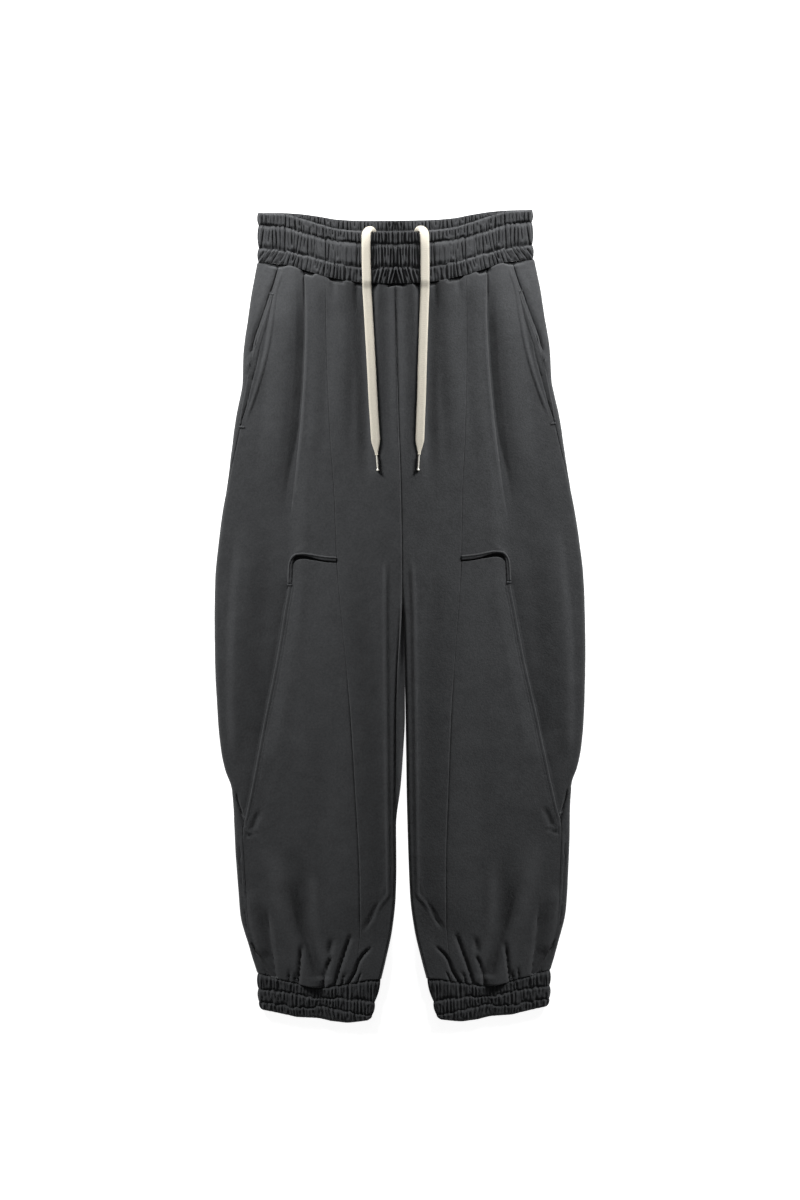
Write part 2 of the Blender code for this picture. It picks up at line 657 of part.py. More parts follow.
# Shares of the shown strip below its top edge, and how far the band stands up there
STRIP_SECTION = ((0.95, 0.0), (0.7, 0.85), (0.22, 1.0), (0.0, 0.3))


def build_waistband_back(material):
    """The back of the band, flat underneath.  Its inside shows above the front's edge."""
    half = WAISTBAND_HALF_WIDTHS[1]
    back_top = smooth_line(BACK_TOP_EDGE)
    front_top = smooth_line([(row.x, row.edge) for row in WAISTBAND_LINES])
    shares, waves = gathered_columns(STRIP_GATHERS, 0.0, 1.0)
    x = (2 * shares - 1) * half
    top = back_top(np.abs(x))
    shown = top - front_top(np.abs(x))
    strip = np.maximum(shown, 4.0)
    raised = 2.4 * ease((shown - 3.0) / 5.0)
    seam = waist_seam_back(np.abs(x)) + HALF_GAP
    outer = [np.stack([x, seam, BAND_BACK_THICK + 0 * x], axis=-1)]
    for share, crown in STRIP_SECTION:
        height = BAND_BACK_THICK + raised * crown * (1 + 0.3 * waves)
        outer.append(np.stack([x, top - strip * share, height], axis=-1))
    outer = np.array(outer)
    inner = outer.copy()
    inner[..., 2] = 0.0
    return wall_object("waistband_back", outer, inner, material)


def cuff_lines():
    """The cuff's seam, lines and hem, as heights at a share of its width and at x."""

    def line(k):
        across = smooth_line([(row.share, row[k]) for row in CUFF_LINES])
        return lambda share, x: across(share)

    return [lambda share, x: cuff_seam(x) - SEAM_GAP] + [line(k) for k in (1, 2, 3)]


def build_cuff_front(side, name, material):
    ends = list(zip(CUFF_OUTER_ENDS, CUFF_INNER_ENDS))
    pattern = gathered_columns(CUFF_GATHERS, 0.0, 1.0)
    outer, inner = tunnel_rows(cuff_lines(), ends, CUFF_FLOOR, CUFF_GROOVE, CUFF_CROWN, CUFF_RELIEF, pattern)
    return wall_object(f"cuff_front_{name}", placed(outer, side), placed(inner, side), material)


def build_cuff_back(side, name, material):
    """The flat underside of a cuff.  Its seam has the points of the back's lower edge."""
    seam = back_row(CUFF_LEVEL, side)
    under = [float(2 * turn_middle(y) - q) for q, y in seam if q > turn_middle(y) + TURN_ARC]
    span = CUFF_INNER_ENDS[0] - CUFF_OUTER_ENDS[0]
    shares = np.array([0.0] + [(x - CUFF_OUTER_ENDS[0]) / span for x in under[:-1]] + [1.0])
    rows = []
    for line, first, last in zip(cuff_lines(), CUFF_OUTER_ENDS, CUFF_INNER_ENDS):
        x = first + (last - first) * shares
        rows.append(np.stack([x, line(shares, x), CUFF_BACK_THICK + 0 * x], axis=-1))
    upper = np.array(rows)
    lower = upper.copy()
    lower[..., 2] = 0.0
    return wall_object(f"cuff_back_{name}", placed(upper, side), placed(lower, side), material)


def strip_on_front(name, route, width, heights, side, material):
    """A narrow strip on the front along (q, y) points, inward of them."""
    route = np.array(route, float)
    ahead = np.gradient(route, axis=0)
    ahead = ahead / np.linalg.norm(ahead, axis=1, keepdims=True)
    inward = np.stack([ahead[:, 1], -ahead[:, 0]], axis=1)
    outer = []
    inner = []
    for share, height in heights:
        places = route + inward * width * share
        q, y = places.T
        middle = cloth_point(q, y, side)
        normal = cloth_normal(q, y, side)
        low = HALF_CLOTH + WELT_CLEAR
        outer.append(middle + normal * (low + height))
        inner.append(middle + normal * low)
    return wall_object(name, placed(np.array(outer), side), placed(np.array(inner), side), material)


WELT_SECTION = ((0.04, 0.7), (0.3, 1.7), (0.7, 1.6), (1.0, 0.6))


def build_knee_welt(side, name, material):
    """Rolled welt along the knee pocket's top edge, its corner and down to the bar tack."""
    seam = on_line(curved_seam, POCKET_CORNER_LEVEL)[0]
    edge = on_line(pocket_line, POCKET_CORNER_LEVEL)[0]
    route = []
    for share in (0.02, 0.2, 0.4, 0.6, 0.76, 0.86):
        route.append((seam + (edge - seam) * share, pocket_top(share) - SEAM_GAP))
    route += [(130.4, 76.6), (133.6, 74.2), (135.6, 70.6), (136.3, 66.0)]
    for y in (58.0, 50.0, 43.5):
        route.append((float(pocket_line(y)) - SEAM_GAP, y))
    return strip_on_front(f"knee_pocket_welt_{name}", route, 6.0, WELT_SECTION, side, material)


def build_hip_welt(side, name, material):
    """Welt along the hip pocket's opening, between its bar tacks."""
    route = []
    for y in np.linspace(402, 238, 12):
        route.append((float(side_seam(y)) - 2 * SEAM_GAP, float(y)))
    return strip_on_front(f"hip_pocket_welt_{name}", route, 7.0, WELT_SECTION, side, material)


def lies_on(x, y, side, spread=0.0):
    """Height of the upper face under a place on the front, or under a width there."""
    heights = []
    for place in (abs(x) - spread, abs(x), abs(x) + spread):
        if y > float(waist_seam_front(place)):
            heights.append(BAND_FLOOR + BAND_CROWN + BAND_RELIEF * 1.35)
        else:
            heights.append(float(front_height(np.array(place), np.array(float(y)), side)) + HALF_CLOTH)
    return max(heights)


def tape_points(side):
    """Smooth points along a drawstring."""
    coarse = [np.array(point) for point in TAPE_START]
    for point in TAPE_ROUTE:
        height = lies_on(point.x, point.y, side, TAPE_EDGE) + TAPE_CLEAR + TAPE_THICK / 2
        coarse.append(np.array([point.x, point.y, height]))
    coarse = np.array(coarse)
    lengths = np.concatenate([[0], np.cumsum(np.linalg.norm(np.diff(coarse, axis=0), axis=1))])
    lines = [smooth_line(list(zip(lengths, coarse[:, k]))) for k in range(3)]
    over_edge = np.linspace(0, 18.0, 9)[:-1]
    stations = np.concatenate([over_edge, np.linspace(18.0, lengths[-1], 24)])
    return np.stack([line(stations) for line in lines], axis=1), lengths[-1] - stations


def build_drawstring(side, name, material):
    """Flat tape: a curve widened sideways, with round edges."""
    points, to_end = tape_points(side)
    curve = bpy.data.curves.new(f"drawstring_{name}", "CURVE")
    curve.dimensions = "3D"
    curve.twist_mode = "Z_UP"
    spline = curve.splines.new("POLY")
    spline.points.add(len(points) - 1)
    for place, point, left in zip(spline.points, placed(points, side), to_end):
        place.co = (*(point * MM), 1.0)
        narrow_end = TAPE_END_SCALE + (1 - TAPE_END_SCALE) * float(ease(left / TAPE_TAPER_LENGTH))
        covered = float(to_end[0] - left)
        narrow_start = TAPE_START_SCALE + (1 - TAPE_START_SCALE) * float(ease(covered / TAPE_START_LENGTH))
        place.radius = narrow_end * narrow_start
        place.tilt = math.radians(90)
    curve.bevel_depth = TAPE_THICK / 2 * MM
    curve.bevel_resolution = 1
    curve.extrude = (TAPE_WIDTH - TAPE_THICK) / 2 * MM
    curve.use_fill_caps = True
    curve.materials.append(material)
    made = bpy.data.objects.new(f"drawstring_{name}", curve)
    bpy.context.scene.collection.objects.link(made)
    return made


AGLET_PROFILE = ((0.0, 0.75), (0.06, 1.0), (0.8, 1.0), (0.88, 1.15), (0.95, 1.9), (1.0, 1.75))


def build_aglet(side, name, material):
    """Thin metal tube with a flared tip, along its axis."""
    start = np.array([*AGLET_START, 0.0])
    end = np.array([*AGLET_END, 0.0])
    for point in (start, end):
        point[2] = lies_on(point[0], point[1], side) + TAPE_CLEAR + AGLET_TIP_RADIUS
    axis = end - start
    across = np.cross(axis, (0, 0, 1))
    across = across / np.linalg.norm(across)
    up = np.cross(across, axis)
    up = up / np.linalg.norm(up)
    mesh = bmesh.new()
    rings = []
    sides = 10
    for share, scale in AGLET_PROFILE:
        radius = AGLET_RADIUS * scale
        ring = []
        for k in range(sides):
            angle = 2 * math.pi * k / sides
            point = start + axis * share + radius * (math.cos(angle) * across + math.sin(angle) * up)
            ring.append(mesh.verts.new(placed(point, side) * MM))
        rings.append(ring)
    for ring, following in zip(rings, rings[1:]):
        for k in range(sides):
            beyond = (k + 1) % sides
            mesh.faces.new([ring[k], ring[beyond], following[beyond], following[k]])
    mesh.faces.new(rings[0])
    mesh.faces.new(rings[-1])
    bmesh.ops.recalc_face_normals(mesh, faces=mesh.faces)
    return finished_object(f"aglet_{name}", mesh, material)


def clear_scene():
    for old in list(bpy.data.objects):
        bpy.data.objects.remove(old, do_unlink=True)


def build():
    clear_scene()
    fleece = new_material("fleece", (0.058, 0.06, 0.063), 0.92)
    band = new_material("band_fleece", (0.05, 0.052, 0.055), 0.92)
    cotton = new_material("cotton_tape", (0.76, 0.71, 0.6), 0.9)
    metal = new_material("aglet_metal", (0.72, 0.7, 0.66), 0.3, 1.0)
    build_waistband_front(band)
    build_waistband_back(band)
    for side, name in ((1, "L"), (-1, "R")):
        build_front_centre(side, name, fleece)
        build_side_front(side, name, fleece)
        build_knee_pocket(side, name, fleece)
        build_back(side, name, fleece)
        build_cuff_front(side, name, band)
        build_cuff_back(side, name, band)
        build_knee_welt(side, name, fleece)
        build_hip_welt(side, name, fleece)
        build_drawstring(side, name, cotton)
        build_aglet(side, name, metal)


build()
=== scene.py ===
"""Looks of the balloon-leg sweatpants: cloth, gathers, sewing, tapes, studio and camera.

Sizes are millimetres in the frame of the solids: the waist points to +Y, the
wearer's left leg lies at +X and the garment lies on Z = 0.  The cloth follows the
same line as the solids: its coordinate q runs over the front from the inner leg
outward, turns round the outline and comes back underneath.
"""

import math
from collections import namedtuple

import bpy
import numpy as np
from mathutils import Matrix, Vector


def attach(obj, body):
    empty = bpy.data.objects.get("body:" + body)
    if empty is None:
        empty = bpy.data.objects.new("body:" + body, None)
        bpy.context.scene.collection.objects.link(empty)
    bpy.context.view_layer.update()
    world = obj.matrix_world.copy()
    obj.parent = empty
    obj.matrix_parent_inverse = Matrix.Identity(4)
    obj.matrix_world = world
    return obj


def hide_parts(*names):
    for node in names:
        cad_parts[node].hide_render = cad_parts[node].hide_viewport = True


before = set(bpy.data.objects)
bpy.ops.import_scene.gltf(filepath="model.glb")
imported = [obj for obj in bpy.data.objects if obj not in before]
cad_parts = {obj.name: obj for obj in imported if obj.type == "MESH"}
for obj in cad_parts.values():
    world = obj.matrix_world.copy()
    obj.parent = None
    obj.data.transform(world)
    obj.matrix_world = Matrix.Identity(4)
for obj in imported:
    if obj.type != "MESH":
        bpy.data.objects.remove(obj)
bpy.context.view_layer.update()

MM = 0.001

# Camera and light.  The photograph shows the garment from straight above, turned a little.
PHOTO_CENTRE = (0.6, 20.6)  # place on the garment at the middle of the photograph
PHOTO_HEIGHT = 1500.0  # of what the photograph shows
PHOTO_TURN = 0.0115  # radians, clockwise
LENS = 85.0
SENSOR = 36.0

# The cloth, as in the solids
CLOTH = 2.0
HALF_CLOTH = CLOTH / 2
SEAM_GAP = 0.3  # between the body and the bands
HALF_GAP = SEAM_GAP / 2
TURN = 3.3  # mid-cloth radius where a layer turns round the outline
TURN_ARC = math.pi * TURN / 2  # from the front to the outline, along the cloth
TURN_TOP = HALF_CLOTH + 2 * TURN
FRONT_HEIGHT = 7.0  # mid-cloth height of the front on its open stretches
LOWEST_FRONT = 3.35  # and where it touches the back layer
TURN_EASE = 32.0  # width over which the front rises to its turn
CROTCH = 45.0  # the legs part below this
CROTCH_EASE = 70.0
WAIST_LEVEL = 430.0  # row that becomes the waist seam
CUFF_LEVEL = -455.0  # row that becomes the cuff seam
WAIST_BEND = 110.0  # length over which rows bend to the waist seam's curve
CUFF_BEND = 115.0
WAIST_RISE_LENGTH = 48.0
CUFF_RISE_LENGTH = 75.0
BAND_BACK_THICK = 5.0
BAND_FLOOR = BAND_BACK_THICK + SEAM_GAP
CUFF_BACK_THICK = 4.4
CUFF_FLOOR = CUFF_BACK_THICK + SEAM_GAP

# The cloth, where it is finer than the solids
CLOSED_SEAM = 0.02  # half gap of the seams between panels
CENTRE_LAP = 0.2  # the two backs meet with no slit at the centre seam
INNER_EASE = 3.6  # width over which the front drops to the inner leg's edge
WAIST_RISE = 2.2  # the front climbs to the band over WAIST_RISE_LENGTH
CUFF_RISE = 1.8
WAIST_GAP_DEPTH = 5.2  # the body sinks this far in the dark gaps under the band
WAIST_GAP_REACH = 4.6
WAIST_GAP_LIP = 1.7
WAIST_GAP_EDGE = 0.2  # share of the depth at which a gap has all of it
FINE_FOLD_EASE = 3.0  # width over which the fine folds end at the outline
FINE_FOLD_PAST = 1.0  # and how far past it they reach
BAND_GROOVE = 1.5  # height of the front band at its sewn lines
BAND_CROWN = 6.0  # and between them
CUFF_GROOVE = 1.0
CUFF_CROWN = 5.2

TAPE_WIDTH = 11.3
TAPE_THICK = 2.2
TAPE_CLEAR = 0.45
TAPE_EDGE = 4.5  # half of the width that rests on the cloth
AGLET_RADIUS = 1.1
AGLET_TIP_RADIUS = 2.1

# Half width of the laid-flat body at each height
OUTLINE = (
    (446, 172.6), (430, 175.6), (410, 179.6), (370, 185.8), (330, 191.5), (292, 193.2),
    (270, 197.4), (250, 201.8), (210, 207.5), (170, 213.0), (130, 220.0), (90, 225.6),
    (50, 229.8), (10, 231.1), (-30, 231.5), (-90, 230.2), (-130, 228.4), (-170, 224.2),
    (-190, 219.8), (-210, 212.8), (-230, 210.8), (-290, 208.4), (-330, 206.1),
    (-370, 203.1), (-410, 192.8), (-430, 187.1), (-446, 182.0),
)  # fmt: skip
InnerEdge = namedtuple("InnerEdge", "y plus_x minus_front minus_back")
INNER_EDGES = (
    InnerEdge(440, -0.8, -0.8, -0.8),
    InnerEdge(408, -0.6, -0.6, -0.6),
    InnerEdge(233, 1.8, 1.8, 1.8),
    InnerEdge(170, 3.4, 3.4, 3.4),
    InnerEdge(96, 3.9, 3.9, 3.9),
    InnerEdge(25, 4.0, 3.4, 4.0),
    InnerEdge(-20, 4.8, 1.0, 4.8),
    InnerEdge(-50, 5.2, -1.5, 5.2),
    InnerEdge(-80, 5.6, -3.5, 5.3),
    InnerEdge(-125, 6.0, -5.5, 5.0),
    InnerEdge(-170, 6.2, -6.3, 2.2),
    InnerEdge(-210, 6.2, -7.0, -1.2),
    InnerEdge(-262, 6.8, -8.0, -7.6),
    InnerEdge(-310, 7.8, -8.2, -7.8),
    InnerEdge(-350, 9.2, -9.4, -9.2),
    InnerEdge(-390, 13.9, -13.9, -13.9),
    InnerEdge(-430, 22.7, -22.7, -22.7),
    InnerEdge(-455, 29.0, -29.0, -29.0),
)
CURVED_SEAM = (
    (440, 87.7), (384, 87.9), (334, 87.4), (234, 84.4), (147, 79.6), (72, 77.6),
    (-54, 67.9), (-124, 62.6), (-211, 58.3), (-329, 53.6), (-375, 53.4), (-430, 57.3),
    (-456, 59.5),
)  # fmt: skip
POCKET_LINE = (
    (440, 112.4), (379, 110.8), (321, 113.5), (276, 116.8), (232, 120.8), (157, 130.7),
    (117, 134.6), (74.6, 134.2), (69.7, 136.3), (43.5, 137.9), (7, 144.1), (-53, 154.6),
    (-93, 163.0), (-136, 172.3), (-175, 179.8), (-205, 185.8), (-238, 192.8),
    (-266, 198.6), (-302, 197.2), (-345, 195.2), (-390, 191.3), (-411, 186.6),
    (-428, 178.6), (-450, 169.5),
)  # fmt: skip
POCKET_CORNER_LEVEL = 74.6
POCKET_TOP_INNER = 72.0
POCKET_TOP_OUTER = 77.7
CORNER_SHARE = 0.9  # of the pocket's width, where its straight top edge would end
CORNER_START = 0.84  # and where it starts to bend down to the corner
TIP_LEVEL = -248.0
TIP_WIDTH = 3.2
SIDE_SEAM = (
    (446, -26.0), (430, -27.4), (402, -25.6), (371, -19.0), (343, -15.4), (290, -11.8),
    (238, -8.4), (194, -4.4), (155, 0.0), (120, 10.0), (70, 24.0), (0, 32.0),
    (-80, 32.0), (-150, 19.0), (-195, 7.0), (-218, -1.0), (-236, -8.6), (-248, -12.2),
)  # fmt: skip
WAIST_SEAM_FRONT = (
    (0, 415.5), (30, 416.0), (60, 419.5), (90, 426.0), (110, 432.0), (130, 438.5),
    (150, 442.0), (174, 444.0),
)  # fmt: skip
# Where the body sinks away from the band, as (distance from the middle, share of the depth)
WAIST_GAPS = (
    (0, 0.55), (9, 0.8), (13, 0), (22, 0), (26, 1), (31, 0.8), (36, 0.3), (43, 1), (51, 0.9),
    (54, 0), (63, 0), (67, 1), (80, 0.9), (88, 0), (100, 0), (105, 1), (113, 1), (117, 0),
    (133, 0), (140, 0.75), (148, 1), (157, 0.8), (162, 0), (174, 0),
)  # fmt: skip
WAIST_SEAM_BACK = ((0, 429.0), (174, 444.5))
CUFF_SEAM = (
    (28, -452.5), (43, -453.0), (60, -455.8), (82, -459.2), (94, -461.2), (104, -461.9),
    (114, -461.0), (130, -457.6), (150, -452.0), (167, -447.4), (183, -442.4),
)  # fmt: skip

# Soft ridges and creases.  line holds (distance from the middle, height) from the top
# down, inside and outside are the widths of the two slopes, height is negative for a
# crease, fade_top and fade_low are the lengths of its two ends, and a keen one has a
# sharp edge along its line.
Fold = namedtuple("Fold", "name line inside outside height fade_top fade_low keen", defaults=(False,))
FOLDS = (
    Fold(
        "main crease",
        ((114, 440), (113, 379), (115, 321), (118.2, 276), (122.2, 232), (132, 157), (137, 117)),
        2.4, 13, -5.0, 1, 80, True,
    ),
    Fold("main ridge", ((132, 440), (137, 350), (147, 240), (157, 120)), 18, 26, 2.6, 1, 110),
    Fold("thigh ridge", ((101, 440), (99, 350), (104, 240), (112, 150)), 14, 11, 0.8, 1, 80),
    Fold("cord crease", ((40, 440), (40, 350), (38, 250), (38, 150)), 8, 15, -3.4, 1, 90),
    Fold("cord ridge", ((64, 440), (66, 350), (70, 240), (74, 170)), 15, 22, 2.4, 1, 110),
    Fold("centre hollow", ((11, 440), (11, 300), (9, 170)), 10, 15, -2.0, 1, 100),
    Fold("gather 1", ((28, 440), (30, 350)), 7, 7, -2.0, 1, 70),
    Fold("gather 2", ((48, 440), (50, 370)), 5, 6, -1.4, 1, 50),
    Fold("gather 3", ((76, 440), (78, 390)), 4, 7, -2.4, 1, 34),
    Fold("gather 4", ((92, 440), (92, 405)), 6, 6, -0.6, 1, 22),
    Fold("gather 5", ((146, 446), (147, 425)), 8, 4, -1.6, 1, 18),
    Fold(
        "seam ridge",
        ((13, 80), (18, 15), (19.3, -80), (19.4, -229), (19.6, -320), (28, -357)),
        5, 5, 0.4, 40, 25,
    ),
    Fold(
        "inner slope",
        ((76, 90), (71, 0), (64, -80), (59, -200), (55, -320), (54, -410)),
        38, 46, 3.4, 90, 60,
    ),
    Fold(
        "side hollow",
        ((136, 250), (138, 150), (140, 80), (143, 30), (152, -30), (163, -93), (172, -140), (180, -180)),
        24, 56, -3.4, 110, 40,
    ),
    Fold("knee ridge", ((104, 30), (108, -120), (112, -260)), 34, 34, 1.2, 90, 110),
    Fold(
        "cuff ridge",
        ((166, -285), (150, -330), (140, -375), (123, -420), (112, -464)),
        17, 20, 5.0, 50, 5,
    ),
    Fold(
        "cuff valley",
        ((138, -285), (120, -330), (119, -380), (108, -420), (101, -452)),
        14, 18, -3.6, 50, 4,
    ),
    Fold("ridge edge", ((141, -335), (133, -370), (121, -405), (110, -446)), 6, 2.6, -1.4, 30, 10, True),
    Fold("crease s", ((142, -436), (143, -458)), 2, 3.2, -3.2, 10, 1, True),
    Fold("crease b", ((126, -404), (128.5, -430), (131.5, -458)), 2.4, 4.6, -5.4, 14, 1, True),
    Fold("crease b2", ((134, -440), (138, -466)), 2, 3.4, -3.6, 10, 1, True),
    Fold(
        "crease c",
        ((87.5, -419), (94.5, -436), (98.5, -450), (100.5, -466)),
        2.6, 4.8, -5.2, 12, 1, True,
    ),
    Fold("crease c2", ((90, -455), (94, -466)), 2, 3.2, -3.2, 8, 1, True),
    Fold(
        "crease d",
        ((63.5, -392), (69.5, -410), (75.5, -427), (81.5, -445), (86.5, -463)),
        2.6, 5.2, -4.8, 16, 1, True,
    ),
    Fold("crease e", ((37, -409), (54, -428), (59.5, -443), (70, -460)), 3, 5.6, -4.8, 12, 1, True),
    Fold("crease e2", ((65, -441), (74, -447), (77, -461)), 1.8, 3.2, -3.4, 8, 1, True),
    Fold("crease f", ((52, -442), (58, -457)), 2, 3.2, -2.8, 8, 1, True),
    Fold("crease g", ((27, -352), (38, -374), (52, -396)), 4, 8, -2.4, 18, 18, True),
)  # fmt: skip
# Finer ones, and those close to the outline, where the ones above give way to the turn
FINE_FOLDS = (
    Fold("outline roll", ((160, 442), (170, 420), (176, 398)), 3.0, 3.0, 0.9, 8, 14),
    Fold(
        "hip opening",
        (
            (146, 438), (151.5, 420), (158.4, 402), (165, 383), (169.6, 370), (173.3, 360),
            (178, 345), (184, 318),
        ),
        2.0, 4.4, -6.0, 4, 26, True,
    ),
    Fold(
        "hip imprint",
        ((140, 436), (150, 405), (155, 370), (160, 340), (172, 295), (190, 243)),
        2.4, 3.0, 1.3, 12, 25,
    ),
    Fold(
        "hip imprint hollow",
        ((144, 436), (154, 405), (160, 370), (165, 340), (176, 295)),
        3.0, 4.0, -0.8, 12, 40,
    ),
    Fold("strip ridge", ((179.5, 350), (183.5, 325), (188.5, 305), (193, 290)), 3.0, 2.2, 2.2, 12, 12),
    Fold("welt seam", ((171, 336), (176, 313), (182, 290), (189, 262), (196, 243)), 1.2, 1.4, -0.9, 8, 4),
    Fold(
        "leg imprint",
        ((17.4, 75), (18.4, 10), (19, -345), (28.5, -358), (52, -392)),
        6, 1.8, 1.3, 25, 25,
    ),
    Fold(
        "panel seam",
        ((67.9, -54), (62.6, -124), (58.3, -211), (53.6, -329), (53.4, -395)),
        1.4, 2.4, -1.2, 70, 20, True,
    ),
    Fold("crease a", ((169, -355), (164.4, -400), (158.5, -449)), 2.2, 17, -4.2, 30, 1, True),
    Fold(
        "outer crease",
        ((191, -403), (183, -417), (175, -430), (166, -448)),
        4.0, 7.0, -5.8, 8, 1, True,
    ),
    Fold("outer roll", ((192, -335), (187, -380), (181, -405), (174, -425)), 15, 7, 2.2, 25, 15),
    Fold("side roll", ((190, 130), (199, 50), (205, -40), (206, -110), (203, -185)), 38, 13, 3.2, 90, 40),
    Fold("crease c top", ((89, -398), (91.5, -424)), 5, 6, -3.0, 12, 8),
    Fold("knee step", ((110, 95), (125, 84), (136, 72)), 7, 5, 0.5, 10, 6),
    Fold("tip crease", ((207, -216), (202.5, -235), (196, -262)), 3.0, 2.8, -3.4, 8, 6, True),
    Fold("tip fold", ((176, -266), (198, -273)), 6, 4, -1.6, 3, 3),
    Fold("tip hollow", ((176, -236), (188, -268)), 6, 7, -2.0, 14, 8),
    Fold(
        "lower seam",
        ((203, -268), (202.5, -300), (199.5, -345), (194, -395)),
        1.4, 2.4, -2.0, 8, 10, True,
    ),
)  # fmt: skip

WaistLine = namedtuple("WaistLine", "x edge line_1 line_2")
WAISTBAND_LINES = (
    WaistLine(0, 481.3, 464.6, 435.1),
    WaistLine(43.5, 481.8, 466.2, 436.4),
    WaistLine(72, 484.6, 468.8, 440.4),
    WaistLine(96, 491.3, 475.4, 446.6),
    WaistLine(120, 498.8, 482.6, 453.6),
    WaistLine(140, 504.0, 487.4, 458.0),
    WaistLine(172, 506.0, 490.5, 461.8),
)
BACK_TOP_EDGE = (
    (0, 494.1), (43.5, 494.6), (72, 496.4), (96, 500.6), (120, 504.0), (140, 505.4), (172, 506.0),
)  # fmt: skip
CuffLine = namedtuple("CuffLine", "share line_1 line_2 hem")
CUFF_LINES = (
    CuffLine(0.0, -460.4, -477.6, -488.5),
    CuffLine(0.1, -463.6, -480.0, -491.2),
    CuffLine(0.22, -466.6, -482.9, -494.8),
    CuffLine(0.35, -470.2, -486.6, -498.4),
    CuffLine(0.53, -473.4, -485.6, -499.9),
    CuffLine(0.66, -474.8, -489.0, -503.6),
    CuffLine(0.82, -478.0, -494.2, -506.0),
    CuffLine(1.0, -480.2, -497.6, -503.8),
)
WAISTBAND_HALF_WIDTHS = (170.8, 170.4, 170.6, 171.2)
CUFF_OUTER_ENDS = (182.0, 181.6, 181.0, 177.6)
CUFF_INNER_ENDS = (29.2, 36.8, 40.2, 46.4)
ROW_BULGE = 1.6

# Route of a drawstring, as in the solids.  It comes out at its start, which lies a little
# lower here, and rests on the front from TAPE_ROUTE on.
TapePoint = namedtuple("TapePoint", "x y")
TAPE_ROUTE = (
    TapePoint(36.4, 474.0), TapePoint(36.5, 462.0), TapePoint(36.5, 445.0),
    TapePoint(36.3, 430.0), TapePoint(36.2, 420.0), TapePoint(36.0, 408.0), TapePoint(35.3, 394.0),
    TapePoint(34.0, 366.0), TapePoint(32.5, 333.0), TapePoint(31.2, 302.0),
    TapePoint(30.0, 271.0), TapePoint(28.7, 245.0), TapePoint(27.5, 221.0),
    TapePoint(26.8, 208.0), TapePoint(26.3, 201.5),
)  # fmt: skip
TapeStart = namedtuple("TapeStart", "x y z")
TAPE_START = (
    TapeStart(25.8, 479.2, 9.6), TapeStart(26.9, 481.7, 11.2), TapeStart(29.6, 482.9, 12.6),
    TapeStart(32.8, 482.0, 13.2), TapeStart(35.4, 478.9, 13.4),
)  # fmt: skip
TAPE_START_SCALE = 0.4
TAPE_START_LENGTH = 17.0
TAPE_TAPER_LENGTH = 20.0
TAPE_END_SCALE = 0.34
AGLET_START = (26.2, 200.9)
AGLET_END = (24.9, 182.0)

# Fineness of the cloth: millimetres between its points, and cells across each panel
CENTRE_CELLS = 48
SIDE_CELLS_BY_POCKET = 30  # inward of the pocket's line, above the pocket
SIDE_CELLS = 60
POCKET_CELLS = 66
BACK_CELLS = 58
ALONG = 2.4
BAND_ACROSS = 0.7
EDGE_CROWDING = 4.0  # points stand this many times closer at a sewn edge
SEAM = 2.6  # width of that crowding at a plain seam
LAPPED_SEAM = 6.0  # and at one with a raised edge or gaps
TURN_CROWDING = 1.6
TURN_CROWD_WIDTH = 6.0


# ---------------------------------------------------------------- lines and surface


def smooth_line(pairs):
    """A smooth function through (station, value) pairs that never overshoots them."""
    stations, values = np.array(sorted(pairs), float).T
    steps = np.diff(stations)
    slopes = np.diff(values) / steps
    tangents = np.concatenate([slopes[:1], np.zeros(len(slopes) - 1), slopes[-1:]])
    for i in range(1, len(slopes)):
        before, after = slopes[i - 1], slopes[i]
        if before * after > 0:
            near, far = 2 * steps[i] + steps[i - 1], steps[i] + 2 * steps[i - 1]
            tangents[i] = (near + far) / (near / before + far / after)

    def value(at):
        at = np.clip(at, stations[0], stations[-1])
        k = np.clip(np.searchsorted(stations, at) - 1, 0, len(steps) - 1)
        t = (at - stations[k]) / steps[k]
        rising = t * t * (3 - 2 * t)
        bend = t * (1 - t) * steps[k] * ((1 - t) * tangents[k] - t * tangents[k + 1])
        return values[k] * (1 - rising) + values[k + 1] * rising + bend

    return value


def ease(t):
    """0 to 1 with level ends."""
    t = np.clip(t, 0.0, 1.0)
    return t * t * (3 - 2 * t)


def unit(vectors):
    return vectors / np.linalg.norm(vectors, axis=-1, keepdims=True)


def lengths_along(points):
    """Length of a route up to each of its points."""
    return np.concatenate([[0], np.cumsum(np.linalg.norm(np.diff(points, axis=0), axis=1))])


def directions(points):
    """Across and up from a route that runs over the cloth, and square to it, at each point."""
    ahead = unit(np.gradient(points, axis=0))
    across = unit(np.cross(ahead, (0, 0, 1)))
    return across, np.cross(across, ahead)


outline = smooth_line(OUTLINE)
curved_seam = smooth_line(CURVED_SEAM)
pocket_line = smooth_line(POCKET_LINE)
side_seam_past_outline = smooth_line(SIDE_SEAM)
waist_seam_front = smooth_line(WAIST_SEAM_FRONT)
waist_seam_back = smooth_line(WAIST_SEAM_BACK)
waist_gap = smooth_line(WAIST_GAPS)
cuff_seam = smooth_line(CUFF_SEAM)
fold_lines = {fold.name: smooth_line([(y, x) for x, y in fold.line]) for fold in FOLDS + FINE_FOLDS}


def inner_edge(side, back=False):
    """Distance of a leg's inner edge from the middle, outward positive, as a function of y."""
    if side > 0:
        return smooth_line([(row.y, row.plus_x) for row in INNER_EDGES])
    if back:
        return smooth_line([(row.y, -row.minus_back) for row in INNER_EDGES])
    return smooth_line([(row.y, -row.minus_front) for row in INNER_EDGES])


def turn_start(y):
    """Where the front starts to turn round the outline."""
    return outline(y) - HALF_CLOTH - TURN


def turn_middle(y):
    return turn_start(y) + TURN_ARC


def side_seam(y):
    return turn_middle(y) + side_seam_past_outline(y)


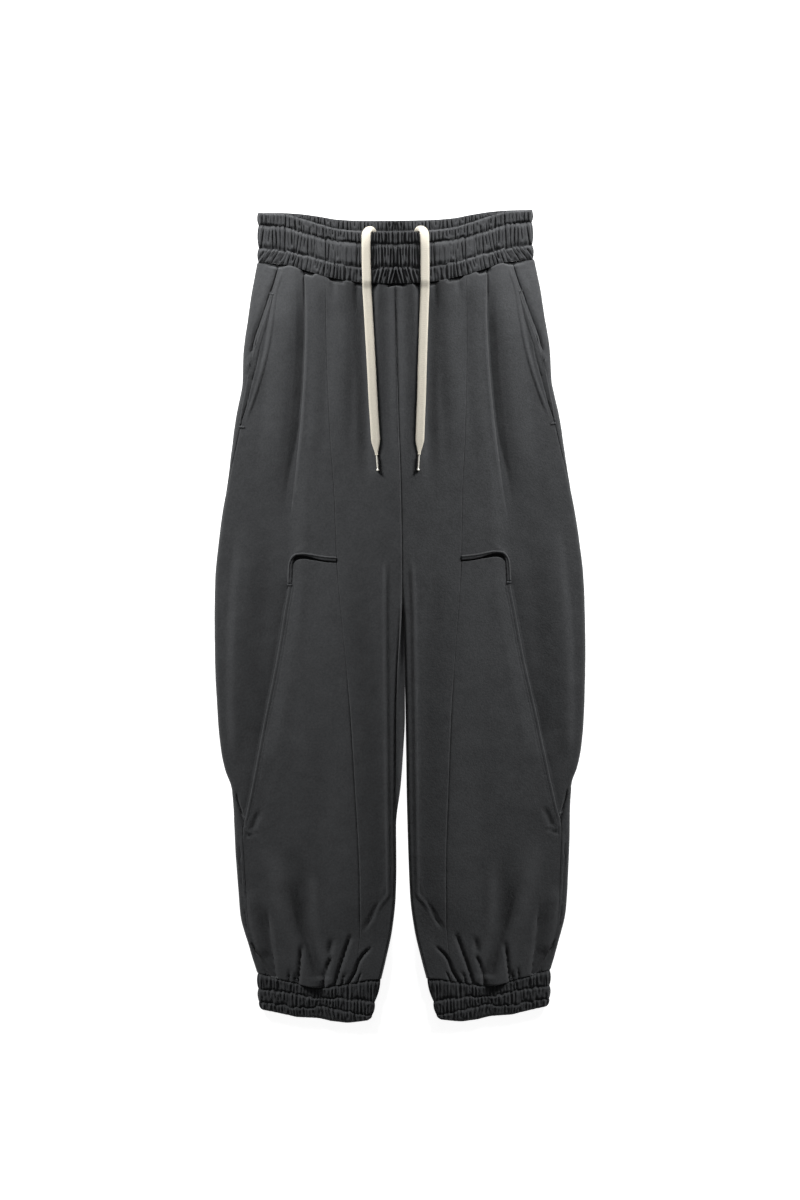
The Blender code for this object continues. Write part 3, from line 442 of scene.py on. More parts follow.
def folds_height(q, y, folds):
    """Sum of the soft ridges and creases at a place on the front."""
    total = np.zeros(np.broadcast(q, y).shape)
    for fold in folds:
        away = q - fold_lines[fold.name](y)
        width = np.where(away < 0, fold.inside, fold.outside)
        if fold.keen:
            slope = np.clip(1 - np.abs(away / width), 0, 1) ** 1.5
        else:
            slope = np.clip(1 - (away / width) ** 2, 0, 1) ** 2
        top, low = fold.line[0][1], fold.line[-1][1]
        along = ease((top - y) / fold.fade_top) * ease((y - low) / fold.fade_low)
        total = total + fold.height * slope * along
    return total


HILLS = 128  # on a side of the field of noise, which then repeats
NOISE_SHIFT = 300.0  # keeps the garment clear of the field's corner


def soft_noise(x, y, cell, seed):
    """Smooth uneven relief between -1 and 1, whose hills are about a cell across."""
    hills = np.random.default_rng(seed).uniform(-1, 1, (HILLS, HILLS))
    u, v = x / cell + NOISE_SHIFT, y / cell + NOISE_SHIFT
    i, j = np.floor(u).astype(int), np.floor(v).astype(int)
    across, along = ease(u - i), ease(v - j)

    def between(row):
        row = row % HILLS
        return hills[i % HILLS, row] * (1 - across) + hills[(i + 1) % HILLS, row] * across

    return between(j) * (1 - along) + between(j + 1) * along


# Layers of unevenness.  y_share is 1 for round hills, less for ones drawn out in y, and 0
# for ones that run on.
Uneven = namedtuple("Uneven", "height cell y_share seed")
CLOTH_UNEVEN = (Uneven(0.22, 34, 1, 11), Uneven(0.1, 11, 1, 12), Uneven(0.045, 4.2, 1, 13))
STRIP_UNEVEN = (Uneven(0.12, 5, 1, 15),)
LINE_WANDER = (Uneven(0.8, 24, 0, 81), Uneven(0.7, 4.2, 0, 91))
ROW_UNEVEN = (Uneven(0.5, 9, 1, 31), Uneven(0.5, 2.4, 0.4, 41))
ROW_FULLNESS = (Uneven(0.16, 15, 0, 61),)
ROW_REACH = (Uneven(0.08, 6, 0, 71),)
ROW_PULL = (Uneven(0.3, 9, 0, 101),)


def uneven(layers, x, y, row=0):
    """Sum of layers of unevenness, which differ from row to row of a band."""
    return sum(a.height * soft_noise(x, y * a.y_share, a.cell, a.seed + row) for a in layers)


def front_height(q, y, side):
    """Mid-cloth height of the front."""
    waist_distance = waist_seam_front(q) - y
    cuff_distance = y - cuff_seam(q)
    rise = WAIST_RISE * (1 - ease(waist_distance / WAIST_RISE_LENGTH))
    rise = rise + CUFF_RISE * (1 - ease(cuff_distance / CUFF_RISE_LENGTH))
    open_height = FRONT_HEIGHT + rise + folds_height(q, y, FOLDS)
    gap = waist_gap(q)
    sunk = ease(gap / WAIST_GAP_EDGE) * (1 - ease((waist_distance - WAIST_GAP_REACH * gap) / WAIST_GAP_LIP))
    open_height = open_height - WAIST_GAP_DEPTH * sunk
    open_height = np.maximum(open_height, LOWEST_FRONT)
    to_turn = 1 - ease((turn_start(y) - q) / TURN_EASE)
    height = open_height + (TURN_TOP - open_height) * to_turn
    to_outline = turn_start(y) - q + FINE_FOLD_PAST
    fine = folds_height(q, y, FINE_FOLDS) * ease(to_outline / FINE_FOLD_EASE)
    height = np.maximum(height + fine, LOWEST_FRONT)
    from_inner = ease((q - inner_edge(side)(y)) / INNER_EASE)
    apart = ease((CROTCH - y) / CROTCH_EASE)
    dropped = LOWEST_FRONT + (height - LOWEST_FRONT) * from_inner
    return height + (dropped - height) * apart


def cloth_point(q, y, side):
    """Mid-cloth point of the body, as it lies."""
    start = turn_start(y)
    angle = np.clip((q - start) / TURN, 0, math.pi)
    under = q - start - 2 * TURN_ARC
    x = np.where(q < start, q, start + TURN * np.sin(angle))
    x = np.where(under > 0, start - under, x)
    front = front_height(np.minimum(q, start), y, side)
    height = np.where(q < start, front, HALF_CLOTH + TURN * (1 + np.cos(angle)))
    height = np.where(under > 0, HALF_CLOTH, height)
    return np.stack([x, y + 0 * x, height], axis=-1)


def cloth_normal(q, y, side):
    """Outward direction of the cloth."""
    step = 0.05
    across = cloth_point(q + step, y, side) - cloth_point(q - step, y, side)
    along = cloth_point(q, y + step, side) - cloth_point(q, y - step, side)
    return unit(np.cross(across, along))


def row_height(q, level, under):
    """Height on the garment of a place in a row: rows bend to the waist and cuff seams."""
    waist = waist_seam_back(q) if under else waist_seam_front(q)
    to_waist = ease((level - WAIST_LEVEL + WAIST_BEND) / WAIST_BEND)
    to_cuff = ease((CUFF_LEVEL + CUFF_BEND - level) / CUFF_BEND)
    return level + to_waist * (waist - WAIST_LEVEL) + to_cuff * (cuff_seam(q) - CUFF_LEVEL)


ROUNDS = 8  # in which a crossing closes in on its place


def on_line(line, levels):
    """Where a seam, given as q at each height, crosses the rows."""
    y = np.array(levels, float)
    for _ in range(ROUNDS):
        q = line(y)
        folded = np.where(q > turn_middle(y), 2 * turn_middle(y) - q, q)
        y = row_height(folded, levels, False)
    return q, y


def row_places(q, first, last, levels):
    """(q, y) of the points of rows between two crossings."""
    middle = turn_middle(first[1])[:, None]
    level = levels[:, None]
    under_x = 2 * middle - q
    under_y = row_height(under_x, level, True)
    under_q = 2 * turn_middle(under_y) - under_x
    front_y = row_height(q, level, False)
    near_turn = ease((q - middle + TURN_EASE) / (TURN_EASE - TURN_ARC))
    front_q = q + (turn_middle(front_y) - middle) * near_turn
    under = q > middle
    folded_q, folded_y = np.where(under, under_q, front_q), np.where(under, under_y, front_y)
    places = np.stack([folded_q, folded_y], axis=-1)
    places[:, 0] = np.stack(first, axis=-1)
    places[:, -1] = np.stack(last, axis=-1)
    return places


FINE_PLACES = 500  # at which the crowding is summed up


def stations(first, last, count, edges=(SEAM, SEAM), turn=None):
    """Places between two ends, closer at sewn ends and at the turn round the outline."""
    fine = np.linspace(first, last, FINE_PLACES)
    density = np.ones(FINE_PLACES)
    for width, end in zip(edges, (first, last)):
        if width:
            density += EDGE_CROWDING * np.exp(-(((fine - end) / width) ** 2))
    if turn is not None:
        density += TURN_CROWDING / (1 + ((fine - turn) / TURN_CROWD_WIDTH) ** 2)
    spread = np.concatenate([[0], np.cumsum((density[1:] + density[:-1]) / 2)])
    return np.interp(np.linspace(0, spread[-1], count + 1), spread, fine)


def station_rows(firsts, lasts, count, edges=(SEAM, SEAM), turns=None):
    turns = [None] * len(firsts) if turns is None else turns
    return np.array([stations(a, b, count, edges, turn) for a, b, turn in zip(firsts, lasts, turns)])


# ---------------------------------------------------------------- meshes


def add_object(name, data):
    made = bpy.data.objects.new(name, data)
    bpy.context.scene.collection.objects.link(made)
    return made


def mesh_object(name, vertices, faces, material, sharp=70):
    """A smooth mesh with sharp edges past an angle.  faces is a list of lists."""
    data = bpy.data.meshes.new(name)
    data.from_pydata((vertices * MM).tolist(), [], faces)
    data.validate()
    data.materials.append(material)
    data.shade_smooth()
    data.set_sharp_from_angle(angle=math.radians(sharp))
    return add_object(name, data)


def faces_outward(vertices, faces):
    """Whether the normals of a wall's four-sided faces point outward."""
    a, b, c, d = (vertices[faces[:, k]] for k in range(4))
    return (a * np.cross(b, c)).sum() + (a * np.cross(c, d)).sum() > 0


def shell(name, outer, inner, material, missing=None, sharp=70):
    """A closed wall between two grids of points.  missing marks cells that are left out."""
    rows, columns = outer.shape[:2]
    beneath = rows * columns
    index = np.arange(beneath).reshape(rows, columns)
    kept = np.ones((rows - 1, columns - 1), bool) if missing is None else ~missing
    i, j = np.nonzero(kept)
    top = np.stack([index[i, j], index[i + 1, j], index[i + 1, j + 1], index[i, j + 1]], axis=1)
    under = top[:, ::-1] + beneath
    edges = np.concatenate([top[:, [k, (k + 1) % 4]] for k in range(4)])
    _, found, count = np.unique(np.sort(edges, axis=1), axis=0, return_index=True, return_counts=True)
    start, end = edges[found[count == 1]].T
    walls = np.stack([end, start, start + beneath, end + beneath], axis=1)
    used, faces = np.unique(np.concatenate([top, under, walls]), return_inverse=True)
    vertices = np.concatenate([outer.reshape(-1, 3), inner.reshape(-1, 3)])[used]
    faces = faces.reshape(-1, 4)
    if not faces_outward(vertices, faces):
        faces = faces[:, ::-1]
    return mesh_object(name, vertices, faces.tolist(), material, sharp)


def tube(name, rings, material, sharp=70):
    """A closed tube through rings of points."""
    count, sides = rings.shape[:2]
    index = np.arange(count * sides).reshape(count, sides)
    beyond = np.roll(index, -1, axis=1)
    quads = np.stack([index[:-1], beyond[:-1], beyond[1:], index[1:]], axis=-1).reshape(-1, 4)
    vertices = rings.reshape(-1, 3)
    faces = quads.tolist() + [index[0, ::-1].tolist(), index[-1].tolist()]
    if not faces_outward(vertices, quads):
        faces = [face[::-1] for face in faces]
    return mesh_object(name, vertices, faces, material, sharp)


def placed(points, side):
    """Points of a half as they lie on its side of the middle."""
    return points * np.array([side, 1.0, 1.0])


def rolled(distance, depth, width):
    """How far the face of a sewn edge has rolled down, this far from the seam."""
    near = 1 - np.clip(distance / width, 0, 1)
    return depth * (1 - np.sqrt(1 - near * near))


def drawn_in(places):
    """Moves a grid's edges in by half the gap of their seams."""
    places = places.copy()
    places[:, 0, 0] += CLOSED_SEAM
    places[:, -1, 0] -= CLOSED_SEAM
    places[0, :, 1] -= HALF_GAP
    places[-1, :, 1] += HALF_GAP
    return places


DENT_DEPTH = 1.3
DENT_LEAST = 0.35  # share of a wave that stays flat
FACE_EASE = 4.0  # width over which the face's unevenness ends underneath
DENT_EASE = 16.0  # and the dents begin


def underside_dents(q, y):
    """Shallow slack creases of the layer underneath, which leave most of it flat."""
    x = 2 * turn_middle(y) - q
    wave = soft_noise(x, y * 0.22, 26, 21) + 0.5 * soft_noise(x * 0.4, y, 31, 22)
    return np.maximum(wave - DENT_LEAST, 0) * DENT_DEPTH


def panel(name, places, side, relief, missing=None):
    """A cloth panel through a grid of (q, y) places, with relief on its outer face."""
    q, y = np.moveaxis(places, -1, 0)
    middle = cloth_point(q, y, side)
    normal = cloth_normal(q, y, side)
    for row in (0, -1):  # cut square, to meet the bands
        normal[row, :, 1] = 0
        normal[row] = unit(normal[row])
    past_turn = q - turn_middle(y) - TURN_ARC
    face = uneven(CLOTH_UNEVEN, q * side, y) * ease(-past_turn / FACE_EASE)
    dents = underside_dents(q, y) * ease((past_turn - FACE_EASE) / DENT_EASE)
    outer = middle + normal * (HALF_CLOTH + relief + face - dents)[..., None]
    inner = middle - normal * (HALF_CLOTH + dents)[..., None]
    return shell(name, placed(outer, side), placed(inner, side), FLEECE, missing)


# ---------------------------------------------------------------- materials


def new_material(name, colour, roughness, metallic=0.0):
    material = bpy.data.materials.new(name)
    material.use_nodes = True
    shader = material.node_tree.nodes["Principled BSDF"]
    shader.inputs["Base Color"].default_value = (*colour, 1.0)
    shader.inputs["Roughness"].default_value = roughness
    shader.inputs["Metallic"].default_value = metallic
    return material, shader


def add_node(material, kind, **inputs):
    node = material.node_tree.nodes.new(kind)
    for name, value in inputs.items():
        node.inputs[name.replace("_", " ")].default_value = value
    return node


def noise(material, place, scale, detail, roughness=0.5):
    node = add_node(material, "ShaderNodeTexNoise", Scale=scale, Detail=detail, Roughness=roughness)
    material.node_tree.links.new(place, node.inputs["Vector"])
    return node.outputs["Fac"]


def math_node(material, operation, first, second):
    node = material.node_tree.nodes.new("ShaderNodeMath")
    node.operation = operation
    for socket, value in zip(node.inputs, (first, second)):
        if isinstance(value, (int, float)):
            socket.default_value = value
        else:
            material.node_tree.links.new(value, socket)
    return node.outputs[0]


def object_place(material):
    return material.node_tree.nodes.new("ShaderNodeTexCoord").outputs["Object"]


def swing(material, value, reach):
    """A value around a half, turned into one around nothing."""
    return math_node(material, "MULTIPLY", math_node(material, "SUBTRACT", value, 0.5), reach)


def shaded(material, shader, colour, value):
    """Makes the shader's colour lighter or darker by a value around one."""
    tint = add_node(material, "ShaderNodeHueSaturation", Color=(*colour, 1.0))
    material.node_tree.links.new(value, tint.inputs["Value"])
    material.node_tree.links.new(tint.outputs["Color"], shader.inputs["Base Color"])


def bumped(material, shader, height, distance, strength):
    bump = add_node(material, "ShaderNodeBump", Distance=distance, Strength=strength)
    material.node_tree.links.new(height, bump.inputs["Height"])
    material.node_tree.links.new(bump.outputs["Normal"], shader.inputs["Normal"])


def fleece_material(name, colour, mottle):
    """Brushed fleece: mottled pile, a faint knit and a soft sheen."""
    material, shader = new_material(name, colour, 0.95)
    shader.inputs["Specular IOR Level"].default_value = 0.2
    shader.inputs["Sheen Weight"].default_value = 0.12
    shader.inputs["Sheen Roughness"].default_value = 0.5
    place = object_place(material)
    pile = noise(material, place, 420.0, 3.0, 0.62)
    cloud = noise(material, place, 55.0, 2.0)
    mottled = math_node(material, "ADD", swing(material, pile, mottle), swing(material, cloud, 0.35))
    shaded(material, shader, colour, math_node(material, "ADD", mottled, 1.0))
    knit = noise(material, place, 1100.0, 2.0)
    height = math_node(material, "ADD", math_node(material, "MULTIPLY", knit, 0.5), pile)
    bumped(material, shader, height, 0.0009, 0.45)
    return material


def tape_material(name, colour):
    """Undyed braided cotton, mottled a little."""
    material, shader = new_material(name, colour, 0.9)
    shader.inputs["Sheen Weight"].default_value = 0.15
    fibre = noise(material, object_place(material), 900.0, 3.0)
    value = math_node(material, "ADD", math_node(material, "MULTIPLY", fibre, 0.35), 0.82)
    shaded(material, shader, colour, value)
    bumped(material, shader, fibre, 0.0004, 0.5)
    return material


def metal_material(name, colour):
    """Satin metal with fine brushing."""
    material, shader = new_material(name, colour, 0.45, 0.75)
    brushed = noise(material, object_place(material), 1500.0, 2.0)
    bumped(material, shader, brushed, 0.0002, 0.2)
    return material


FLEECE = fleece_material("charcoal_fleece", (0.050, 0.0515, 0.0538), 0.75)
BAND = fleece_material("charcoal_band", (0.040, 0.0412, 0.0433), 0.6)
COTTON = tape_material("undyed_cotton", (0.65, 0.605, 0.51))
METAL = metal_material("aglet_satin", (0.78, 0.75, 0.67))
THREAD = fleece_material("charcoal_thread", (0.062, 0.064, 0.067), 0.2)


# ---------------------------------------------------------------- body panels


def levels_between(top, low, edges=(LAPPED_SEAM, LAPPED_SEAM)):
    return stations(top, low, int(round(abs(top - low) / ALONG)), edges)


def edge_distances(places):
    """Distance along the cloth to the first and last column, and to the top and low row."""
    q, y = np.moveaxis(places, -1, 0)
    return q - q[:, :1], q[:, -1:] - q, np.abs(y[:1] - y), np.abs(y - y[-1:])


# How a face rolls down to a seam
Roll = namedtuple("Roll", "depth width")
FLAT_SEAM = Roll(0.3, 1.2)
INNER_SEAM = Roll(1.1, 2.2)
SIDE_ROLL = Roll(0.8, 2.6)
BACK_SIDE_ROLL = Roll(0.5, 1.6)
WAIST_ROLL = Roll(2.0, 2.6)
CUFF_ROLL = Roll(0.7, 2.2)
MOUTH_ROLL = Roll(0.7, 1.2)
LAP_ROLL = Roll(1.3, 1.5)
TUCKED = Roll(0.0, 1.0)

TIP_TUCK = 1.6  # the side front's tip is tucked this much deeper under its seam
TIP_TUCK_LEVEL = -205.0
TIP_TUCK_EASE = 20.0
SIDE_BEND_LEVEL = 112.0  # the side front's rows bend to the pocket's top edge from here
POCKET_BEND_LEVEL = 35.0  # and the pocket's own rows

# The knee pocket's slanted edge is lapped over the side front from LAP_TOP to LAP_LOW
LAP_TOP = 46.0
LAP_TOP_EASE = 6.0
LAP_LOW = -285.0
LAP_LOW_EASE = 30.0
LAP_HEIGHT = 0.9
LAP_WIDTH = 9.0
BESIDE_LAP_DEPTH = 2.8
BESIDE_LAP_LEVEL = 60.0
BESIDE_LAP_EASE = 30.0

# Rows of stitches inside the slanted edge of the knee pocket
POCKET_STITCHES = (4.3, 6.9)
STITCH_GROOVE = 0.4
STITCH_GROOVE_WIDTH = 0.9


def seam_relief(places, first, last, top, low):
    """The face of a panel rolls down to each of its seams."""
    total = 0
    for distance, roll in zip(edge_distances(places), (first, last, top, low)):
        total = total - rolled(distance, roll.depth, roll.width)
    return total


def build_front_centre(side, name):
    levels = levels_between(WAIST_LEVEL, CUFF_LEVEL)
    first = on_line(inner_edge(side), levels)
    last = on_line(curved_seam, levels)
    places = drawn_in(row_places(station_rows(first[0], last[0], CENTRE_CELLS), first, last, levels))
    relief = seam_relief(places, INNER_SEAM, FLAT_SEAM, WAIST_ROLL, CUFF_ROLL)
    return panel(f"cloth_front_centre_{name}", places, side, relief)


def pocket_top(share):
    """Height of the knee pocket's top edge across its width."""
    straight = POCKET_TOP_INNER + (POCKET_TOP_OUTER - POCKET_TOP_INNER) * share / CORNER_SHARE
    to_corner = ease((share - CORNER_START) / (1 - CORNER_START))
    return straight + (POCKET_CORNER_LEVEL - straight) * to_corner


# Height of the edge of the pocket's own cloth, which hangs open below its lip
POCKET_MOUTH = (
    (0, 67.8), (0.25, 69.2), (0.5, 71.4), (0.75, 73.2), (0.86, 72.4), (0.93, 69.2), (1, 64.0),
)  # fmt: skip
pocket_mouth = smooth_line(POCKET_MOUTH)


def beside_pocket(distance, y):
    """The side front sinks towards the pocket's raised slanted edge."""
    below = ease((BESIDE_LAP_LEVEL - y) / BESIDE_LAP_EASE)
    return BESIDE_LAP_DEPTH * np.exp(-distance / LAP_WIDTH) * below


def side_front_grid():
    """The side front's places, and the row and column of the pocket's corner in them."""
    above = levels_between(WAIST_LEVEL, POCKET_CORNER_LEVEL)
    below = levels_between(POCKET_CORNER_LEVEL, TIP_LEVEL, (SEAM, 0))
    levels = np.concatenate([above, below[1:]])
    seam = on_line(curved_seam, levels)
    edge = on_line(pocket_line, levels)
    outer = on_line(side_seam, levels)
    outer[0][-1] = edge[0][-1] + TIP_WIDTH
    outer[1][-1] = edge[1][-1]
    upper_q = station_rows(seam[0], edge[0], SIDE_CELLS_BY_POCKET, (SEAM, 0))
    upper = row_places(upper_q, seam, edge, levels)
    share = (upper_q - seam[0][:, None]) / (edge[0] - seam[0])[:, None]
    bend = (SIDE_BEND_LEVEL - levels) / (SIDE_BEND_LEVEL - POCKET_CORNER_LEVEL)
    upper[..., 1] += ease(bend)[:, None] * (pocket_top(share) - POCKET_CORNER_LEVEL)
    turns = turn_middle(edge[1])
    outer_q = station_rows(edge[0], outer[0], SIDE_CELLS, (SEAM, SEAM), turns)
    outward = row_places(outer_q, edge, outer, levels)
    places = np.concatenate([upper[:, :-1], outward], axis=1)
    row, column = len(above) - 1, upper.shape[1] - 1
    places[0, :, 1] -= HALF_GAP
    places[-1, :, 1] += HALF_GAP
    places[:, -1, 0] -= CLOSED_SEAM
    places[: row + 1, 0, 0] += CLOSED_SEAM
    places[row, : column + 1, 1] += HALF_GAP
    places[row:, column, 0] += CLOSED_SEAM
    return places, row, column


def build_side_front(side, name):
    """The side front: it narrows to the strip outside the knee pocket and ends in a tip."""
    places, row, column = side_front_grid()
    missing = np.zeros((places.shape[0] - 1, places.shape[1] - 1), bool)
    missing[row:, :column] = True
    q, y = np.moveaxis(places, -1, 0)
    relief = -rolled(np.abs(y[:1] - y), *WAIST_ROLL)
    tuck = SIDE_ROLL.depth + TIP_TUCK * ease((TIP_TUCK_LEVEL - y) / TIP_TUCK_EASE)
    relief = relief - rolled(q[:, -1:] - q, tuck, SIDE_ROLL.width)
    relief[: row + 1] -= rolled(q[: row + 1] - q[: row + 1, :1], *FLAT_SEAM)
    relief[row:] -= beside_pocket(q[row:] - q[row:, column : column + 1], y[row:])
    return panel(f"cloth_front_side_{name}", places, side, relief, missing)


def build_knee_pocket(side, name):
    """The pocket's front: its slanted edge is lapped over the side front and stitched twice."""
    levels = levels_between(POCKET_CORNER_LEVEL, CUFF_LEVEL, (SEAM, LAPPED_SEAM))
    first = on_line(curved_seam, levels)
    last = on_line(pocket_line, levels)
    q = station_rows(first[0], last[0], POCKET_CELLS, (SEAM, LAPPED_SEAM))
    places = row_places(q, first, last, levels)
    share = (q - first[0][:, None]) / (last[0] - first[0])[:, None]
    bend = (levels - POCKET_BEND_LEVEL) / (POCKET_CORNER_LEVEL - POCKET_BEND_LEVEL)
    places[..., 1] += ease(bend)[:, None] * (pocket_mouth(share) - POCKET_CORNER_LEVEL)
    places = drawn_in(places)
    q, y = np.moveaxis(places, -1, 0)
    relief = seam_relief(places, FLAT_SEAM, TUCKED, MOUTH_ROLL, CUFF_ROLL)
    to_edge = q[:, -1:] - q
    lapped = ease((LAP_TOP - y) / LAP_TOP_EASE) * ease((y - LAP_LOW) / LAP_LOW_EASE)
    relief = relief + lapped * (LAP_HEIGHT * np.exp(-to_edge / LAP_WIDTH) - rolled(to_edge, *LAP_ROLL))
    for row in POCKET_STITCHES:
        groove = np.exp(-(((to_edge - row) / STITCH_GROOVE_WIDTH) ** 2))
        relief = relief - lapped * STITCH_GROOVE * groove
    return panel(f"cloth_knee_pocket_{name}", places, side, relief)


def back_outer_edge(levels):
    """Where the back meets the front: the side seam, and the pocket's line below its tip."""
    seam = on_line(side_seam, levels)
    edge = on_line(pocket_line, levels)
    below = levels <= TIP_LEVEL
    return np.where(below, edge[0], seam[0]), np.where(below, edge[1], seam[1])


def build_back(side, name):
    above = levels_between(WAIST_LEVEL, TIP_LEVEL, (LAPPED_SEAM, 0))
    below = levels_between(TIP_LEVEL, CUFF_LEVEL, (0, LAPPED_SEAM))
    levels = np.concatenate([above, below[1:]])
    edge = inner_edge(side, back=True)
    first = back_outer_edge(levels)
    y = levels.copy()
    for _ in range(ROUNDS):
        x = edge(y)
        y = row_height(x, levels, True)
    last = (2 * turn_middle(y) - x, y)
    turns = turn_middle(first[1])
    q = station_rows(first[0], last[0], BACK_CELLS, (SEAM, 0), turns)
    places = drawn_in(row_places(q, first, last, levels))
    places[:, -1, 0] += CENTRE_LAP
    relief = seam_relief(places, BACK_SIDE_ROLL, TUCKED, WAIST_ROLL, CUFF_ROLL)
    return panel(f"cloth_back_{name}", places, side, relief)


# ---------------------------------------------------------------- gathered bands


# A gather: its place at the middle of the row's height, how far it slants outward over
# that height, its depth and width, and the shares of the height where it starts and ends
Pleat = namedtuple("Pleat", "place slant depth width top low")
PLEAT_DEPTHS = (1.4, 2.2, 3.2)
PLEAT_CHANCES = (0.3, 0.4, 0.3)
PLEAT_WIDTHS = (0.9, 1.7)
PLEAT_SWAY = 0.9
PLEAT_DEPTH_SPREAD = (0.85, 1.15)
PARTIAL = 0.25  # share of the gathers that start lower, and of those that end higher
PARTIAL_STARTS = (0.2, 0.6)
PARTIAL_ENDS = (0.4, 0.75)
PLEAT_END = 0.15
PLEAT_LIP = 0.4  # the cloth beside a gather rises by this share of its depth,
PLEAT_LIP_PLACE = 1.9  # this many of its widths away
PLEAT_LIP_SPREAD = 1.2


def pleats(seed, length, closest, widest, lean):
    """Uneven gathers along a tunnel row, with some that reach only part of the way.

    lean gives how far outward a gather runs over the row's height, at its place.
    """
    draw = np.random.default_rng(seed)
    found = []
    place = draw.uniform(0, closest)
    while place < length:
        reach = draw.uniform()
        top = 0.0 if reach > PARTIAL else draw.uniform(*PARTIAL_STARTS)
        low = 1.0 if reach < 1 - PARTIAL else draw.uniform(*PARTIAL_ENDS)
        slant = float(lean(place)) + draw.normal(0, PLEAT_SWAY)
        depth = draw.choice(PLEAT_DEPTHS, p=PLEAT_CHANCES) * draw.uniform(*PLEAT_DEPTH_SPREAD)
        found.append(Pleat(place, slant, depth, draw.uniform(*PLEAT_WIDTHS), top, low))
        place += draw.uniform(closest, widest)
    return found


def pleated(x, share, gathers):
    """Relief of the gathers at x and at a share of the row's height."""
    relief = 0 * x
    for pleat in gathers:
        away = (x - pleat.place - pleat.slant * (share - 0.5)) / pleat.width
        starts = ease((share - pleat.top + PLEAT_END) / PLEAT_END)
        deep = pleat.depth * starts * ease((pleat.low + PLEAT_END - share) / PLEAT_END)
        relief = relief - deep * np.exp(-away * away)
        from_lip = np.abs(away) - PLEAT_LIP_PLACE
        relief = relief + PLEAT_LIP * deep * np.exp(-(from_lip**2) / PLEAT_LIP_SPREAD)
    return relief


# A gathered band: its floor, the height of its grooves and rows above it, how far the
# sewn lines wander, how much a row rises from its upper line and sinks to its lower, and
# how deep its gathers are
Band = namedtuple("Band", "floor groove crown wander rises sinks depth")
BAND_END = 7.0  # width over which a band's thickness rounds off at its ends
BAND_END_ROUND = 0.8  # how round it gets there, from 0 to 1
LEAST_GATHER = 0.45  # share of a gather's depth that is left in the grooves
LEAST_THICKNESS = 0.4
ROW_TOP = 0.17  # share of a row's height over which it rises from its upper line
ROW_SLOPE = 0.2  # how much it falls on its way down,
ROW_SLOPE_END = 0.8  # to this share of the height
MEAN_REACH = 0.2  # share of the height over which it sinks to its lower line
MEAN_PULL = 0.86


def row_roundness(share, along, y, k, band):
    """A tunnel row rises steeply at its upper line and sinks to the next."""
    reach = MEAN_REACH + uneven(ROW_REACH, along, y, k)
    pull = MEAN_PULL + uneven(ROW_PULL, along, y, k)
    rise = band.rises[k] * pull * (1 - ease(share / ROW_TOP))
    sink = band.sinks[k] * pull * ease((share - 1 + reach) / reach)
    return np.maximum(1 - ROW_SLOPE * ease(share / ROW_SLOPE_END) - rise - sink, 0)


def row_shares(count, last):
    """Shares of a row's height, closer at its lines.  Only the last row has its lower line."""
    shares = (1 - np.cos(np.linspace(0, math.pi, count + 1))) / 2
    return shares if last else shares[:-1]


def row_ends(ends, k, share):
    """Both ends of a row of points, at a share of a tunnel row's height."""
    return ((1 - share) * a + share * b for a, b in zip(ends[k], ends[k + 1]))


def rounded_ends(x, width, roundness):
    """Share of its thickness that a band has at each x."""
    from_end = np.minimum(np.abs(x - x[0]), np.abs(x - x[-1]))
    return np.sqrt(1 - (1 - np.clip(from_end / width, 0, 1)) ** 2 * roundness)


def band_front(name, lines, ends, band, rows, gathers, side=1):
    """The gathered front of a band, in tunnel rows between sewn lines."""
    count = int(max(abs(a - b) for a, b in ends) / BAND_ACROSS)
    across = np.linspace(0, 1, count + 1)

    def line_place(k, x):
        """A sewn line: it wanders a little, as the elastic draws it in."""
        place = lines[k](across, x)
        return place + band.wander * uneven(LINE_WANDER, x, x, k) if k in (1, 2) else place

    outer = []
    inner = []
    for k, row_count in enumerate(rows):
        for share in row_shares(row_count, k == len(rows) - 1):
            bulge = ROW_BULGE * 4 * share * (1 - share)
            first, last = row_ends(ends, k, share)
            outwards = math.copysign(bulge, last - first)
            x = (first - outwards) + (last - first + 2 * outwards) * across
            along = np.abs(x)
            upper, lower = line_place(k, along), line_place(k + 1, along)
            y = upper + (lower - upper) * share
            crown = row_roundness(share, along, y, k, band)
            fullness = 1 + uneven(ROW_FULLNESS, along, y, k)
            height = band.groove + (band.crown - band.groove) * crown * fullness
            gathered = pleated(along, share, gathers[k]) * (LEAST_GATHER + (1 - LEAST_GATHER) * crown)
            height = height + band.depth * gathered + uneven(ROW_UNEVEN, along, y, k)
            height = height * rounded_ends(x, BAND_END, BAND_END_ROUND)
            outer.append(np.stack([x, y, band.floor + np.maximum(height, LEAST_THICKNESS)], axis=-1))
            inner.append(np.stack([x, y, band.floor + 0 * x], axis=-1))
    return shell(name, placed(np.array(outer), side), placed(np.array(inner), side), BAND, sharp=85)


# How far outward the gathers of a band's rows lean over a row's height, along its width
UPRIGHT = ((0, 0.0), (200, 0.0))
WAISTBAND_LEANS = (
    UPRIGHT,
    (
        (0, 0.0), (108, 0.0), (116, 4.0), (122, 3.0), (128, 0.0), (150, 1.0), (165, 4.0),
        (172, 3.0),
    ),
    (
        (0, 4.0), (20, 6.0), (40, 1.0), (70, 1.0), (88, 4.5), (130, 4.5), (142, 9.0),
        (166, 12.0),
    ),
)  # fmt: skip
CUFF_LEANS = (
    UPRIGHT,
    ((0, 1), (200, -1)),
    ((0, -1), (88, -1), (95, -5), (113, -5), (120, -1), (200, 0)),
)
# Closest and widest distance between the gathers of each of the waistband's rows
WAISTBAND_STEPS = ((2.8, 5.6), (2.8, 5.4), (3.0, 5.2))
CUFF_STEP = (2.8, 5.2)
WAISTBAND_SEED = 51
CUFF_SEED = 71
WAISTBAND_ROWS = (16, 22, 18)  # points over the height of each row
CUFF_ROWS = (15, 15, 13)


